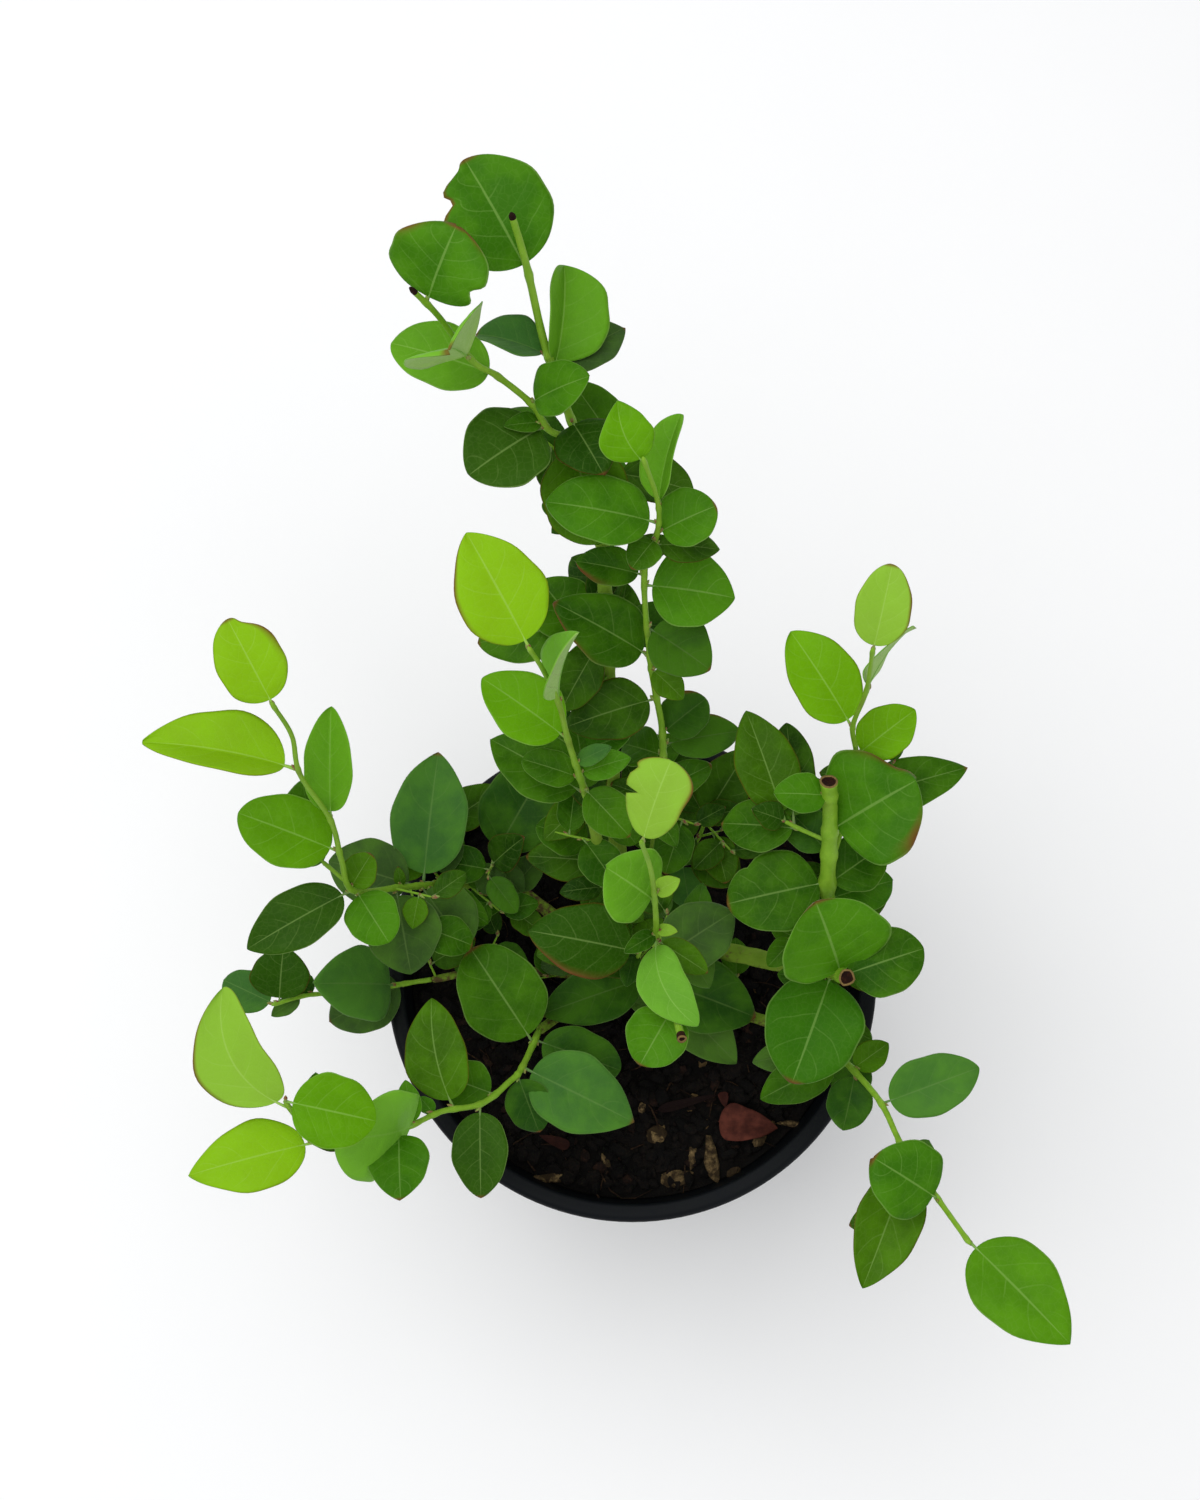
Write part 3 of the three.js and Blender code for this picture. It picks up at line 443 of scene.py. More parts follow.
# A shoot is (carrier, share of its length, thick, legs, leaves). Each leaf is [tint, place on
# the stem, bearing, rise, length, width]. Where it isn't like the rest there follow its point,
# from 0 for a blunt tip to 1 for a sharp one, and a dict: fold, roll and bow as in the solids,
# bites as [side, place, depth, length] with shares of the blade, and brown as the same list for
# a dead margin.
SHOOTS = {
    "shoot_back_right": ("cane_back", 1, [3.4, 2.6], [
        [118, 58, 29], [109, 60, 27], [115, 63, 17]], [
        ["mid", 0.62, 121, 18, 33, 29, 0.2, {
         "bites": [[1, 0.5, 0.22, 0.04], [1, 0.72, 0.3, 0.06], [1, 0.95, 0.5, 0.06]],
         "brown": [[1, 0.7, 0.2, 0.3]]}],
        ["fresh", 0.24, 84, 15, 28, 27, 0, {"fold": 42, "roll": 38}],
        ["sage", 0.24, 36, -10, 24, 14, 0.8],
        ["blue", 0.3, 163, 2, 20, 16, 0, {"fold": 22, "roll": 30}],
        ["ink", 0.04, -62, 10, 19, 18],
    ]),
    "shoot_back_left": ("cane_back", 0.98, [2.8, 2.2], [
        [183, 48, 11], [139, 58, 11], [163, 57, 16], [176, 59, 12], [141, 55, 17], [156, 59, 13]], [
        ["mid", 0.9, 62, 36, 21, 27, 0.2, {"fold": 10, "bites": [[-1, 0.35, 0.25, 0.1]],
         "brown": [[1, 0.75, 0.35, 0.12], [-1, 0.97, 0.4, 0.1]]}],
        ["fold", 0.68, -118, 77, 25, 28, 0.6, {"fold": 27, "roll": 66}],
        ["fresh", 0.5, 164, 6, 29, 18, 0.1],
        ["night", 0.2, -142, 12, 26, 24, 0.1],
        ["deep", 0.22, -165, 14, 12, 6],
        ["olive", 0.03, -76, -32, 31, 25, 0.3],
        ["mid", 0.34, 10, 8, 20, 15, 0.2],
    ]),
    "shoot_inner_back": ("cane_inner_back", 1, [3.1, 1.8], [
        [97, 66, 21], [108, 65, 19], [105, 65, 17], [96, 52, 28], [66, 66, 20], [99, 75, 16],
        [128, 70, 19]], [
        ["mid", 0.74, 174, 16, 32, 20, 0.3],
        ["bright", 0.98, 117, 28, 18, 15, 0.9, {"bow": -0.12}],
        ["fresh", 0.81, 76, 18, 26, 14, 0.2, {"fold": 38, "roll": -35}],
        ["mid", 0.7, 22, 14, 18, 17, 0.1],
        ["dark", 0.66, -2, -10, 19, 11, 1],
        ["deep", 0.68, -125, 15, 12, 10, 0.2],
        ["deep", 0.57, 167, -4, 20, 12, 0.6, {"brown": [[1, 0.9, 0.8, 0.35]]}],
        ["mid", 0.55, -8, -2, 26, 24, 0.7],
        ["navy", 0.48, -34, -5, 22, 19, 0.7],
        ["deep", 0.42, 155, 16, 33, 21, 0.8, {"brown": [[1, 0.8, 0.3, 0.3]]}],
        ["dark", 0.25, -162, 0, 28, 19],
        ["olive", 0.38, -43, -8, 13, 9],
        ["navy", 0.12, 37, 12, 17, 15, 0.1, {"brown": [[1, 0.8, 0.5, 0.2]]}],
        ["navy", 0.08, 12, -10, 25, 14, 0.6, {"brown": [[1, 0.5, 0.3, 0.3]]}],
        ["deep", 0.04, 155, -12, 17, 14],
    ]),
    "shoot_upper_left": ("cane_back_left", 1, [3.1, 1.8], [
        [119, 75, 20], [114, 66, 18], [109, 68, 18], [123, 62, 16], [136, 65, 12]], [
        ["lime", 0.97, 120, 20, 36, 25, 0.7, {"brown": [[1, 0.7, 0.25, 0.4]]}],
        ["fold", 0.61, 68, 55, 27, 17, 0.6, {"fold": 35, "roll": -70}],
        ["bright", 0.4, 146, 12, 30, 20, 0.5],
        ["deep", 0.17, 164, 12, 18, 11, 0],
        ["deep", 0.05, 150, 2, 33, 21, 0.8],
        ["deep", 0.1, -46, -10, 20, 14],
        ["mid", 0.2, 15, 12, 16, 9],
        ["blue", 0.26, 22, 24, 12, 6],
    ]),
    "shoot_centre": ("cane_centre", 1, [2.7, 1.8], [[99, 77, 29], [107, 78, 31], [122, 74, 21]], [
        ["pale", 0.96, 70, 24, 24, 18, 0, {"roll": -15, "widest": 0.74,
         "bites": [[1, 0.5, 0.4, 0.03], [1, 0.78, 0.15, 0.04]],
         "brown": [[-1, 0.75, 0.3, 0.3], [1, 0.95, 0.3, 0.15]]}],
        ["fresh", 0.4, 150, 34, 19, 23, 0.2],
        ["pale", 0.47, 25, 30, 9, 6],
        ["spring", 0.06, -66, 6, 29, 15, 0.5, {"bow": 0.15}],
        ["deep", 0.1, -146, 28, 13, 6],
        ["pale", 0.13, -10, 40, 8, 4],
        ["olive", 0.03, -32, -8, 18, 9],
    ]),
    "shoot_centre_front": ("cane_centre", 0.62, [2.6, 2.4], [[-79, 57, 24], [-79, 49, 26]], [
        ["mid", 0.7, -120, 4, 20, 19, 0.2],
        ["sage", 0.12, 33, 0, 27, 21],
    ]),
    "shoot_left": ("cane_left", 1, [3.1, 1.8], [
        [202, 63, 22], [201, 64, 28], [103, 72, 21], [97, 67, 22], [124, 66, 26], [95, 59, 16],
        [122, 64, 16]], [
        ["lime", 0.98, 118, 22, 27, 19, 0.1, {"brown": [[-1, 0.75, 0.4, 0.3]],
         "bites": [[-1, 0.93, 0.4, 0.08]]}],
        ["lime", 0.73, 171, 6, 44, 24, 1, {"fold": 28, "roll": 24}],
        ["fresh", 0.57, 88, 25, 34, 17, 0.3, {"fold": 34}],
        ["bright", 0.46, 160, 10, 32, 22, 0.2],
        ["night", 0.29, -151, -5, 37, 19, 0.7],
        ["olive", 0.3, 56, 22, 13, 11, 0],
        ["mid", 0.27, -57, 2, 19, 17, 0],
        ["sage", 0.07, 163, -10, 31, 22],
        ["blue", 0.04, 84, 4, 44, 26, 0.8],
        ["sage", 0.05, -54, -4, 25, 23, 0.1],
        ["sage", 0.15, -80, -12, 28, 25],
        ["dark", 0.13, 100, 50, 7, 4],
        ["deep", 0.02, -31, -18, 24, 11],
    ]),
    "shoot_left_low": ("cane_left", 0.48, [2.4, 1.8], [[60, 78, 10], [65, 74, 8]], [
        ["navy", 0.9, 60, 6, 34, 27, 0.2],
        ["sage", 0.65, -103, -4, 12, 11],
        ["sage", 0.6, -47, -16, 15, 10],
    ]),
    "shoot_low_left": ("cane_low_left", 1, [2.5, 1.8], [
        [190, 13, 9], [193, 27, 20], [187, 37, 15], [199, 31, 14]], [
        ["blue", 0.3, -175, 48, 36, 26],
        ["sage", 0.24, -155, -12, 30, 21],
        ["ink", 0.95, 85, 14, 19, 20, 0.7],
        ["blue", 0.98, 155, 2, 19, 14, 0.1],
        ["navy", 0.72, 140, 20, 11, 8],
        ["sage", 0.8, -148, -5, 12, 6],
    ]),
    "shoot_front_left": ("cane_front_left", 1, [3.1, 2], [
        [-111, 48, 21], [-129, 42, 8], [-139, 39, 14], [-166, 40, 16], [-153, 38, 16],
        [-168, 43, 19], [-169, 48, 13], [124, 52, 22]], [
        ["pale", 0.98, 119, 15, 40, 22, 0.3, {"roll": -10, "bow": -0.18,
         "brown": [[1, 0.6, 0.25, 0.4]]}],
        ["lime", 0.88, -165, 8, 38, 21, 0.9, {"roll": 5}],
        ["bright", 1, -12, -12, 27, 22, 0.2],
        ["fold", 0.58, -166, 50, 32, 32, 0, {"fold": 8, "roll": -45}],
        ["mid", 0.63, -86, 0, 22, 19, 0.5],
        ["mid", 0.59, 99, 12, 14, 8],
        ["mid", 0.52, 130, 30, 7, 5],
        ["olive", 0.46, 102, 5, 35, 20, 0.7, {"bow": -0.06}],
        ["deep", 0.32, 160, -9, 19, 16],
        ["night", 0.38, -89, -3, 29, 18, 0.5],
        ["blue", 0.12, -26, 1, 40, 26, 1],
        ["navy", 0.17, -69, -16, 20, 15],
        ["deep", 0.04, 124, 8, 37, 28, 0.1],
        ["navy", 0.03, -19, -9, 30, 18, 0.1],
    ]),
    "shoot_right_stub": ("cane_right", 1, [5.4, 4.6], [
        [87, 67, 22], [92, 66, 18], [93, 54, 30], [99, 57, 20]], [
        ["mid", 0.74, 28, 13, 30, 36, 0.1, {"bites": [[1, 0.9, 0.4, 0.12]],
         "brown": [[-1, 0.7, 0.5, 0.16], [1, 0.85, 0.35, 0.2]]}],
        ["mid", 0.92, 180, 14, 17, 12, 0.2],
        ["deep", 0.56, 35, -6, 22, 18],
        ["mid", 0.5, 18, -20, 24, 16],
        ["deep", 0.57, -168, -3, 31, 25, 0.2, {"bites": [[-1, 0.7, 0.1, 0.05]]}],
        ["navy", 0.66, 128, -18, 20, 14],
    ]),
    "shoot_right_top": ("shoot_right_stub", 0.6, [2.6, 1.8], [
        [73, 11, 20], [84, 48, 19], [129, 77, 24], [82, 83, 30], [104, 79, 27]], [
        ["pale", 0.98, 78, 25, 24, 15, 0.1, {"brown": [[-1, 0.6, 0.2, 0.4]]}],
        ["fold", 0.8, 52, 36, 23, 16, 0.6, {"fold": 10, "roll": -97}],
        ["apple", 0.59, 124, 13, 33, 20, 0.4],
        ["apple", 0.41, 37, 9, 22, 16],
        ["deep", 0.22, 17, -2, 38, 16, 0.8],
    ]),
    "shoot_right_cut": ("cane_right", 0.98, [5, 4.2], [[-44, 74, 21], [-68, 79, 25]], [
        ["mid", 0.8, 114, 26, 28, 35, 0],
        ["leafy", 0.5, -111, 4, 37, 31, 0.3],
        ["deep", 0.84, 18, 4, 26, 22, 0.3],
    ]),
    "shoot_front_right": ("cane_front_right", 1, [3.1, 2.2], [
        [-55, 54, 21], [-58, 44, 17], [-72, 44, 19], [-64, 46, 24], [-63, 48, 22]], [
        ["blue", 0.4, 20, 8, 32, 19, 0.4],
        ["mid", 0.81, 149, 18, 24, 24, 0.3],
        ["olive", 0.65, -112, 3, 41, 21, 0.7, {"fold": 22}],
        ["clear", 0.98, -47, 12, 40, 25, 0.9],
        ["deep", 0.1, -153, -8, 29, 15],
        ["navy", 0.2, -102, -14, 19, 15],
        ["olive", 0.18, 35, 10, 14, 10],
        ["sage", 0.03, -169, 6, 26, 13],
    ]),
    "sprig_back_middle": ("cane_back", 0.57, [2, 1.5], [[150, 30, 8], [140, 20, 6]], [
        ["deep", 0.95, -172, -8, 29, 19],
        ["deep", 0.6, 129, 0, 21, 20],
        ["dark", 0.25, -120, -12, 22, 15],
    ]),
    "sprig_right_back": ("shoot_right_stub", 0.7, [2, 1.5], [[154, -10, 8], [155, 9, 7]], [
        ["olive", 0.97, 109, 6, 35, 19, 0.8],
        ["dark", 0.75, 92, -10, 33, 15, 0.7],
        ["ink", 0.95, 165, 20, 12, 9],
        ["deep", 0.6, 172, -16, 25, 17],
    ]),
    "sprig_middle": ("crown", 0.95, [2.4, 1.6], [[-31, 88, 36], [-46, 88, 28]], [
        ["ink", 0.92, 170, 9, 36, 24, 0.7, {"brown": [[1, 0.6, 0.35, 0.4]]}],
    ]),
    "sprig_front_right": ("crown", 0.5, [2.2, 1.6], [[-35, 66, 13], [-38, 76, 12]], [
        ["navy", 0.7, -160, 4, 39, 20, 0.7],
        ["navy", 0.92, -21, 3, 37, 25],
        ["sage", 0.86, -44, -12, 41, 20, 0.8],
    ]),
    "sprig_back_right": ("crown", 0.7, [2.6, 1.6], [[65, 47, 35], [56, 46, 28], [72, 53, 10]], [
        ["dark", 0.98, 120, 6, 27, 16],
        ["dark", 0.9, 178, 0, 14, 14],
        ["blue", 0.5, -81, -6, 15, 14],
        ["dark", 0.67, -140, 14, 15, 6],
        ["dark", 0.93, 57, 10, 27, 18],
        ["dark", 0.99, 5, 32, 14, 9, 0.8],
        ["dark", 0.6, -40, 0, 19, 16],
        ["dark", 0.45, 130, 6, 24, 16],
    ]),
    "sprig_back_left": ("cane_back_left", 0.28, [2.2, 1.6], [[80, 25, 10], [90, 40, 10]], [
        ["dark", 0.97, 176, 3, 30, 16],
        ["deep", 0.3, -150, -20, 14, 11],
        ["dark", 0.95, 142, -16, 34, 18],
    ]),
}
CUT_STEMS = ["shoot_right_stub", "shoot_right_cut", "shoot_centre_front"]     # pruned flat
DIED_BACK = ["shoot_back_right", "shoot_back_left", "shoot_centre_front"]
DEAD_TIP = 3.5         # how much of such a stem's end is dark and dead

# Short side twigs low in the bush, each turned to where the most of its leaves are in shade.
# Each is [carrier, share of its length, rise, length].
SIDE_TWIGS = {
    "twig_back_low": ["cane_back", 0.3, 25, 26],
    "twig_back_middle": ["cane_back", 0.5, 25, 26],
    "twig_back_high": ["cane_back", 0.7, 20, 26],
    "twig_back_top": ["cane_back", 0.88, 10, 22],
    "twig_inner_back": ["cane_inner_back", 0.7, 20, 26],
    "twig_upper_left_low": ["cane_back_left", 0.55, 25, 26],
    "twig_upper_left_high": ["cane_back_left", 0.85, 20, 26],
    "twig_centre": ["cane_centre", 0.8, 15, 24],
    "twig_left_low": ["cane_left", 0.7, 20, 20],
    "twig_left": ["shoot_left", 0.4, 10, 22],
    "twig_front_left": ["shoot_front_left", 0.7, 5, 22],
    "twig_right_low": ["cane_right", 0.8, 20, 24],
    "twig_right": ["shoot_right_stub", 0.45, 15, 26],
    "twig_front_right_low": ["cane_front_right", 0.8, 20, 22],
    "twig_front_right": ["shoot_front_right", 0.55, 5, 22],
}
TWIG_THICK = [1.9, 1.2]
TWIG_SEED = 41
TWIG_TURNS = 18        # how many bearings are tried, at each shift of its share of the carrier
TWIG_SHIFTS = [0, 0.06, -0.06]
TWIG_LEAF_STEP = 5.6
LEAF_TURN = 137.5      # degrees from one leaf to the next round the stem
TWIG_LEAF_RISE = [-10, 20]
TWIG_LEAF_LENGTH = [17, 27]
TWIG_LEAF_WIDTH = 0.58
TWIG_LEAST_LEAVES = 2
TWIG_TINTS = ["deep", "dark", "mid", "navy", "dark", "deep"]
LEAST_HIDDEN_PARTS = 5     # of the six spots in LEAF_PARTS
OPEN_SKY = np.array([-11, -79, 920.0])     # what lies behind a leaf from here is in shade

# Twigs finer than the solids carry, in the shade and between the low stems at the back.
FINE_TWIG_EVERY = 17       # one twig is tried on each such length of a limb, this many times
FINE_TWIG_TRIES = 4
FINE_TWIG_THICK = [1.2, 0.8]
FINE_TWIG_LENGTH = [8, 15]
FINE_TWIG_RISE = [5, 50]
FINE_LEAF_LENGTH = [11, 19]
FINE_TINTS = ["dark", "deep", "navy", "dark", "olive", "deep", "sage"]
BARE_LIMBS = ["crown", "cane_right"]
BACK_GAP = [-14, 74, 238]      # least y, reach from the middle and greatest z of what may show

# Trying for room: a leaf takes the first tilt at which it keeps these distances.
TILTS = [0, 6, -6, 12, -12, 18, -18, 24, -24, 30, -30]
LINE_STEP = 8          # a limb is tried against the rest as lines about this long
FOOT_LINES = 5         # the first of a leaf's lines, which lie next to its stem
LEAF_CLEARANCE = 2
SAME_SHOOT_CLEARANCE = 1
LIMB_CLEARANCE = 0.8
FAR_OFF = 20           # beyond its own reach and a limb's, a leaf needn't be tried against it

# The shape of a leaf and of the lines that stand for it, with shares of its length and width.
LEAF_POINT = 0.6
LEAF_FOLD = 14
LEAF_DROOP = 30
LEAF_STATIONS = [0, 0.09, 0.2, 0.4, 0.65, 0.86, 1]
LEAF_WIDTHS = [0, 0, 0.7, 1, 0.93, 0.54, 0]
LEAF_PARTS = [[0.3, 0.8], [0.3, -0.8], [0.6, 0.9], [0.6, -0.9], [0.85, 0], [1, 0]]


# ---- Growth: the rule that the solids grow by ----
def direction(bearing, rise):
    b, r = math.radians(bearing), math.radians(rise)
    return np.array([math.cos(r) * math.cos(b), math.cos(r) * math.sin(b), math.sin(r)])


def unit(vector):
    return vector / np.linalg.norm(vector)


class Stream:
    """A seeded stream of numbers between low and high."""

    def __init__(self, seed):
        self.state = seed

    def __call__(self, low, high):
        self.state = (self.state * 1664525 + 1013904223) % 2**32
        return low + (high - low) * (self.state / 2**32)


class Limb:
    """A tapering round limb along a smooth path through its legs."""

    def __init__(self, start, legs, thick, carrier=""):
        points = [np.array(start, float)]
        for bearing, rise, length in legs:
            points.append(points[-1] + length * direction(bearing, rise))
        self.count = len(legs)
        self.path = np.array([2 * points[0] - points[1], *points, 2 * points[-1] - points[-2]])
        self.length = sum(leg[2] for leg in legs)
        self.thick = thick
        self.carrier = carrier

    def at(self, shares):
        place = np.clip(shares, 0, 1) * self.count
        first = np.minimum(np.floor(place), self.count - 1).astype(int)
        t = (place - first)[..., None]
        before, start, end, after = (self.path[first + k] for k in range(4))
        leaving, coming = (end - before) / 2, (after - start) / 2
        square = 3 * (end - start) - 2 * leaving - coming
        cube = 2 * (start - end) + leaving + coming
        return start + leaving * t + square * t**2 + cube * t**3

    def radius(self, share):
        return (self.thick[0] + (self.thick[1] - self.thick[0]) * share) / 2

    def lines(self):
        """Lines along the limb and the radius to keep clear of round each."""
        count = math.ceil(self.length / LINE_STEP)
        shares = np.arange(count + 1) / count
        points = self.at(shares)
        return np.stack([points[:-1], points[1:]], 1), self.radius(shares[:-1])


class Crown(Limb):
    def __init__(self):
        foot = [*CROWN_CENTRE, SOIL_TOP - CROWN_SUNK]
        super().__init__(foot, [[90, 90, CROWN_HEIGHT + CROWN_SUNK]], [1, 1])

    def radius(self, share):
        rounded = CROWN_SHOULDER * np.maximum(0, share - 0.7) / 0.3
        return CROWN_TOP_RADIUS + CROWN_FLARE * (1 - share) ** 2 - rounded


class Leaf:
    def __init__(self, stem, foot, row, tilt):
        self.tint, self.place, bearing, rise, self.length, self.width = row[:6]
        self.point = row[6] if len(row) > 6 else LEAF_POINT
        self.shape = row[7] if len(row) > 7 else {}
        self.stem, self.foot = stem, foot
        self.fold = math.radians(self.shape.get("fold", LEAF_FOLD))
        self.bow = self.shape.get("bow", 0)
        self.along = direction(bearing, rise + tilt)
        level = np.array([math.sin(math.radians(bearing)), -math.cos(math.radians(bearing)), 0])
        roll = math.radians(self.shape.get("roll", 0))
        self.side = level * math.cos(roll) + np.cross(self.along, level) * math.sin(roll)
        self.up = np.cross(self.side, self.along)
        self.middle = self.at(0.5, 0, 0)
        self.parts = self.at(*np.array(LEAF_PARTS).T, 0)
        rows, widths = np.array(LEAF_STATIONS), np.array(LEAF_WIDTHS)
        centre, left, right = (self.at(rows, sign * widths, 0) for sign in (0, -1, 1))
        self.lines = self.trial_lines(centre, left, right)
        self.outline = shadow(np.concatenate([right[1:], left[:0:-1]]))

    def at(self, station, across, above):
        """A point of the blade: across runs from -1 to 1, and above lifts it off the blade."""
        station, across = np.broadcast_arrays(np.asarray(station, float), across)
        bend = math.radians(LEAF_DROOP)
        turned, radius = bend * (station - 0.5), self.length / bend
        forward = radius * (np.sin(turned) + math.sin(bend / 2))
        lift = radius * (np.cos(turned) - math.cos(bend / 2))
        half = (self.width / 2) * np.abs(across)
        sideways = np.sign(across) * half * math.cos(self.fold)
        sideways = sideways + self.bow * self.length * 4 * station * (1 - station)
        raised = lift + half * math.sin(self.fold) + above
        return (self.foot + forward[..., None] * self.along + raised[..., None] * self.up
                + sideways[..., None] * self.side)

    def trial_lines(self, centre, left, right):
        """Lines that stand for the leaf when it is tried against its neighbours, five to a row."""
        lines = []
        for row in range(2, len(centre)):
            lines.append([centre[row - 1], centre[row]])
            for margin in (left, right):
                lines += [[margin[row - 1], margin[row]], [centre[row], margin[row]]]
        return np.array(lines)


def shadow(points):
    """Where the shadow of each point falls on the soil, as seen from the open sky."""
    share = (OPEN_SKY[2] - SOIL_TOP) / (OPEN_SKY[2] - points[..., 2:3])
    return OPEN_SKY[:2] + (points[..., :2] - OPEN_SKY[:2]) * share


def line_gaps(lines, others):
    """The shortest distance from each line of one set to each line of the other."""
    a0, b0 = lines[:, None, 0], others[None, :, 0]
    a, b = lines[:, None, 1] - a0, others[None, :, 1] - b0
    r = a0 - b0
    dot = lambda one, two: np.einsum("...k,...k", one, two)
    aa, bb = np.maximum(dot(a, a), 1e-9), np.maximum(dot(b, b), 1e-9)
    ab, ar, br = dot(a, b), dot(a, r), dot(b, r)
    spread = aa * bb - ab * ab
    s = np.where(spread > 1e-9, np.clip((ab * br - ar * bb) / np.maximum(spread, 1e-9), 0, 1), 0)
    t = np.clip((ab * s + br) / bb, 0, 1)
    s = np.clip((ab * t - ar) / aa, 0, 1)
    return np.linalg.norm(a * s[..., None] + r - b * t[..., None], axis=-1)


class Plant:
    def __init__(self):
        self.limbs = {"crown": Crown()}
        self.leaves = []
        for name, (foot, thick, legs) in CANES.items():
            self.limbs[name] = Limb(foot, legs, thick)
        for name, (carrier, share, thick, legs, _) in SHOOTS.items():
            self.limbs[name] = Limb(self.limbs[carrier].at(share), legs, thick, carrier)
        for name, (carrier, _, _, _, rows) in SHOOTS.items():
            for row in rows:
                leaf = self.try_leaf(name, carrier, self.limbs[name], row, self.leaves)
                self.leaves += [leaf] if leaf else []
        stream = Stream(TWIG_SEED)
        for number, (name, row) in enumerate(SIDE_TWIGS.items()):
            self.grow_side_twig(name, row, stream, number)

    def hits_leaf(self, leaf, others):
        """Leaves of one stem may come closer to each other, and their feet may meet."""
        within = [other for other in others if np.linalg.norm(other.middle - leaf.middle)
                  <= (other.length + leaf.length) / 2 + LEAF_CLEARANCE]
        for kin, first, clearance in ((True, FOOT_LINES, SAME_SHOOT_CLEARANCE),
                                      (False, 0, LEAF_CLEARANCE)):
            near = [other.lines[first:] for other in within if (other.stem == leaf.stem) == kin]
            if near and (line_gaps(leaf.lines[first:], np.concatenate(near)) < clearance).any():
                return True
        return False

    def hits_limb(self, leaf, name, carrier):
        """A leaf's foot may lie on its own stem, on that stem's carrier and on what it carries."""
        for other, limb in self.limbs.items():
            lines, radii = limb.lines()
            if np.linalg.norm(lines[0, 0] - leaf.middle) > leaf.length + limb.length + FAR_OFF:
                continue
            kin = other in (name, carrier) or limb.carrier == name
            gaps = line_gaps(leaf.lines[2 * FOOT_LINES if kin else 1:], lines)
            if (gaps < radii + LIMB_CLEARANCE).any():
                return True
        return False

    def in_shade(self, points):
        """Whether each point lies in the shadow of a leaf above it."""
        outlines = np.array([leaf.outline for leaf in self.leaves])
        heights = np.array([leaf.middle[2] for leaf in self.leaves])
        x1, y1 = outlines[..., 0], outlines[..., 1]
        x0, y0 = np.roll(x1, 1, 1), np.roll(y1, 1, 1)
        x, y = (shadow(points)[:, k, None, None] for k in (0, 1))
        crosses = (y0 > y) != (y1 > y)
        rise = np.where(y1 == y0, 1, y1 - y0)
        left = crosses & (x < x0 + (x1 - x0) * (y - y0) / rise)
        inside = left.sum(-1) % 2 == 1
        return (inside & (heights > points[:, 2, None])).any(-1)

    def is_hidden(self, leaf):
        return self.in_shade(leaf.parts).sum() >= LEAST_HIDDEN_PARTS

    def try_leaf(self, name, carrier, limb, row, others, must_hide=False):
        """A leaf is tilted a little at a time until it clears its neighbours, or else left off."""
        foot = limb.at(row[1])
        for tilt in TILTS:
            leaf = Leaf(name, foot, row, tilt)
            if must_hide and not self.is_hidden(leaf):
                continue
            if not self.hits_leaf(leaf, others) and not self.hits_limb(leaf, name, carrier):
                return leaf
        return None

    def has_room(self, twig, carrier):
        """Whether a bare twig keeps clear of all leaves and of every limb but its carrier."""
        lines = twig.lines()[0][1:]
        if not len(lines):
            lines = twig.at(np.array([0.4, 1]))[None]
        clearance = twig.thick[0] / 2 + LIMB_CLEARANCE
        for name, limb in self.limbs.items():
            others, radii = limb.lines()
            if name != carrier and (line_gaps(lines, others) < radii + clearance).any():
                return False
        blades = np.concatenate([leaf.lines for leaf in self.leaves])
        return not (line_gaps(blades, lines) < clearance).any()

    def grow_side_twig(self, name, row, stream, number):
        """Tries a side twig all the way round its carrier and keeps the leafiest way in shade."""
        carrier, share, rise, length = row
        count = int(length / TWIG_LEAF_STEP)
        best_limb, best_leaves = None, []
        for shift in TWIG_SHIFTS:
            start = self.limbs[carrier].at(share + shift)
            for turn in range(TWIG_TURNS):
                bearing = 360 / TWIG_TURNS * turn
                limb = Limb(start, [[bearing, rise, length]], TWIG_THICK, carrier)
                rows = []
                for i in range(count):
                    long = stream(*TWIG_LEAF_LENGTH)
                    tint = TWIG_TINTS[(number + i) % len(TWIG_TINTS)]
                    rows.append([tint, (i + 1) / count, bearing + LEAF_TURN * i,
                                 stream(*TWIG_LEAF_RISE), long, long * TWIG_LEAF_WIDTH])
                if not self.in_shade(limb.at(np.array([0.6, 1]))).all():
                    continue
                if not self.has_room(limb, carrier):
                    continue
                leaves = []
                for row in rows:
                    others = self.leaves + leaves
                    leaf = self.try_leaf(name, carrier, limb, row, others, must_hide=True)
                    leaves += [leaf] if leaf else []
                if len(leaves) > len(best_leaves):
                    best_limb, best_leaves = limb, leaves
        if len(best_leaves) >= TWIG_LEAST_LEAVES:
            self.limbs[name] = best_limb
            self.leaves += best_leaves

    def in_back_gap(self, points):
        front, reach, top = BACK_GAP
        near = np.hypot(points[:, 0], points[:, 1]) < reach
        return (near & (points[:, 1] > front) & (points[:, 2] < top)).all()

    def grow_fine_twigs(self, pick):
        """Carries every limb on into twigs too fine for a solid, wherever they find room."""
        solid = {name: limb for name, limb in self.limbs.items() if name not in BARE_LIMBS}
        for carrier, limb in solid.items():
            count = int(limb.length / FINE_TWIG_EVERY)
            for i in range(count):
                for _ in range(FINE_TWIG_TRIES):
                    share = (i + pick.uniform(0.2, 0.9)) / count
                    if self.grow_fine_twig(f"{carrier}.{i}", carrier, share, pick):
                        break

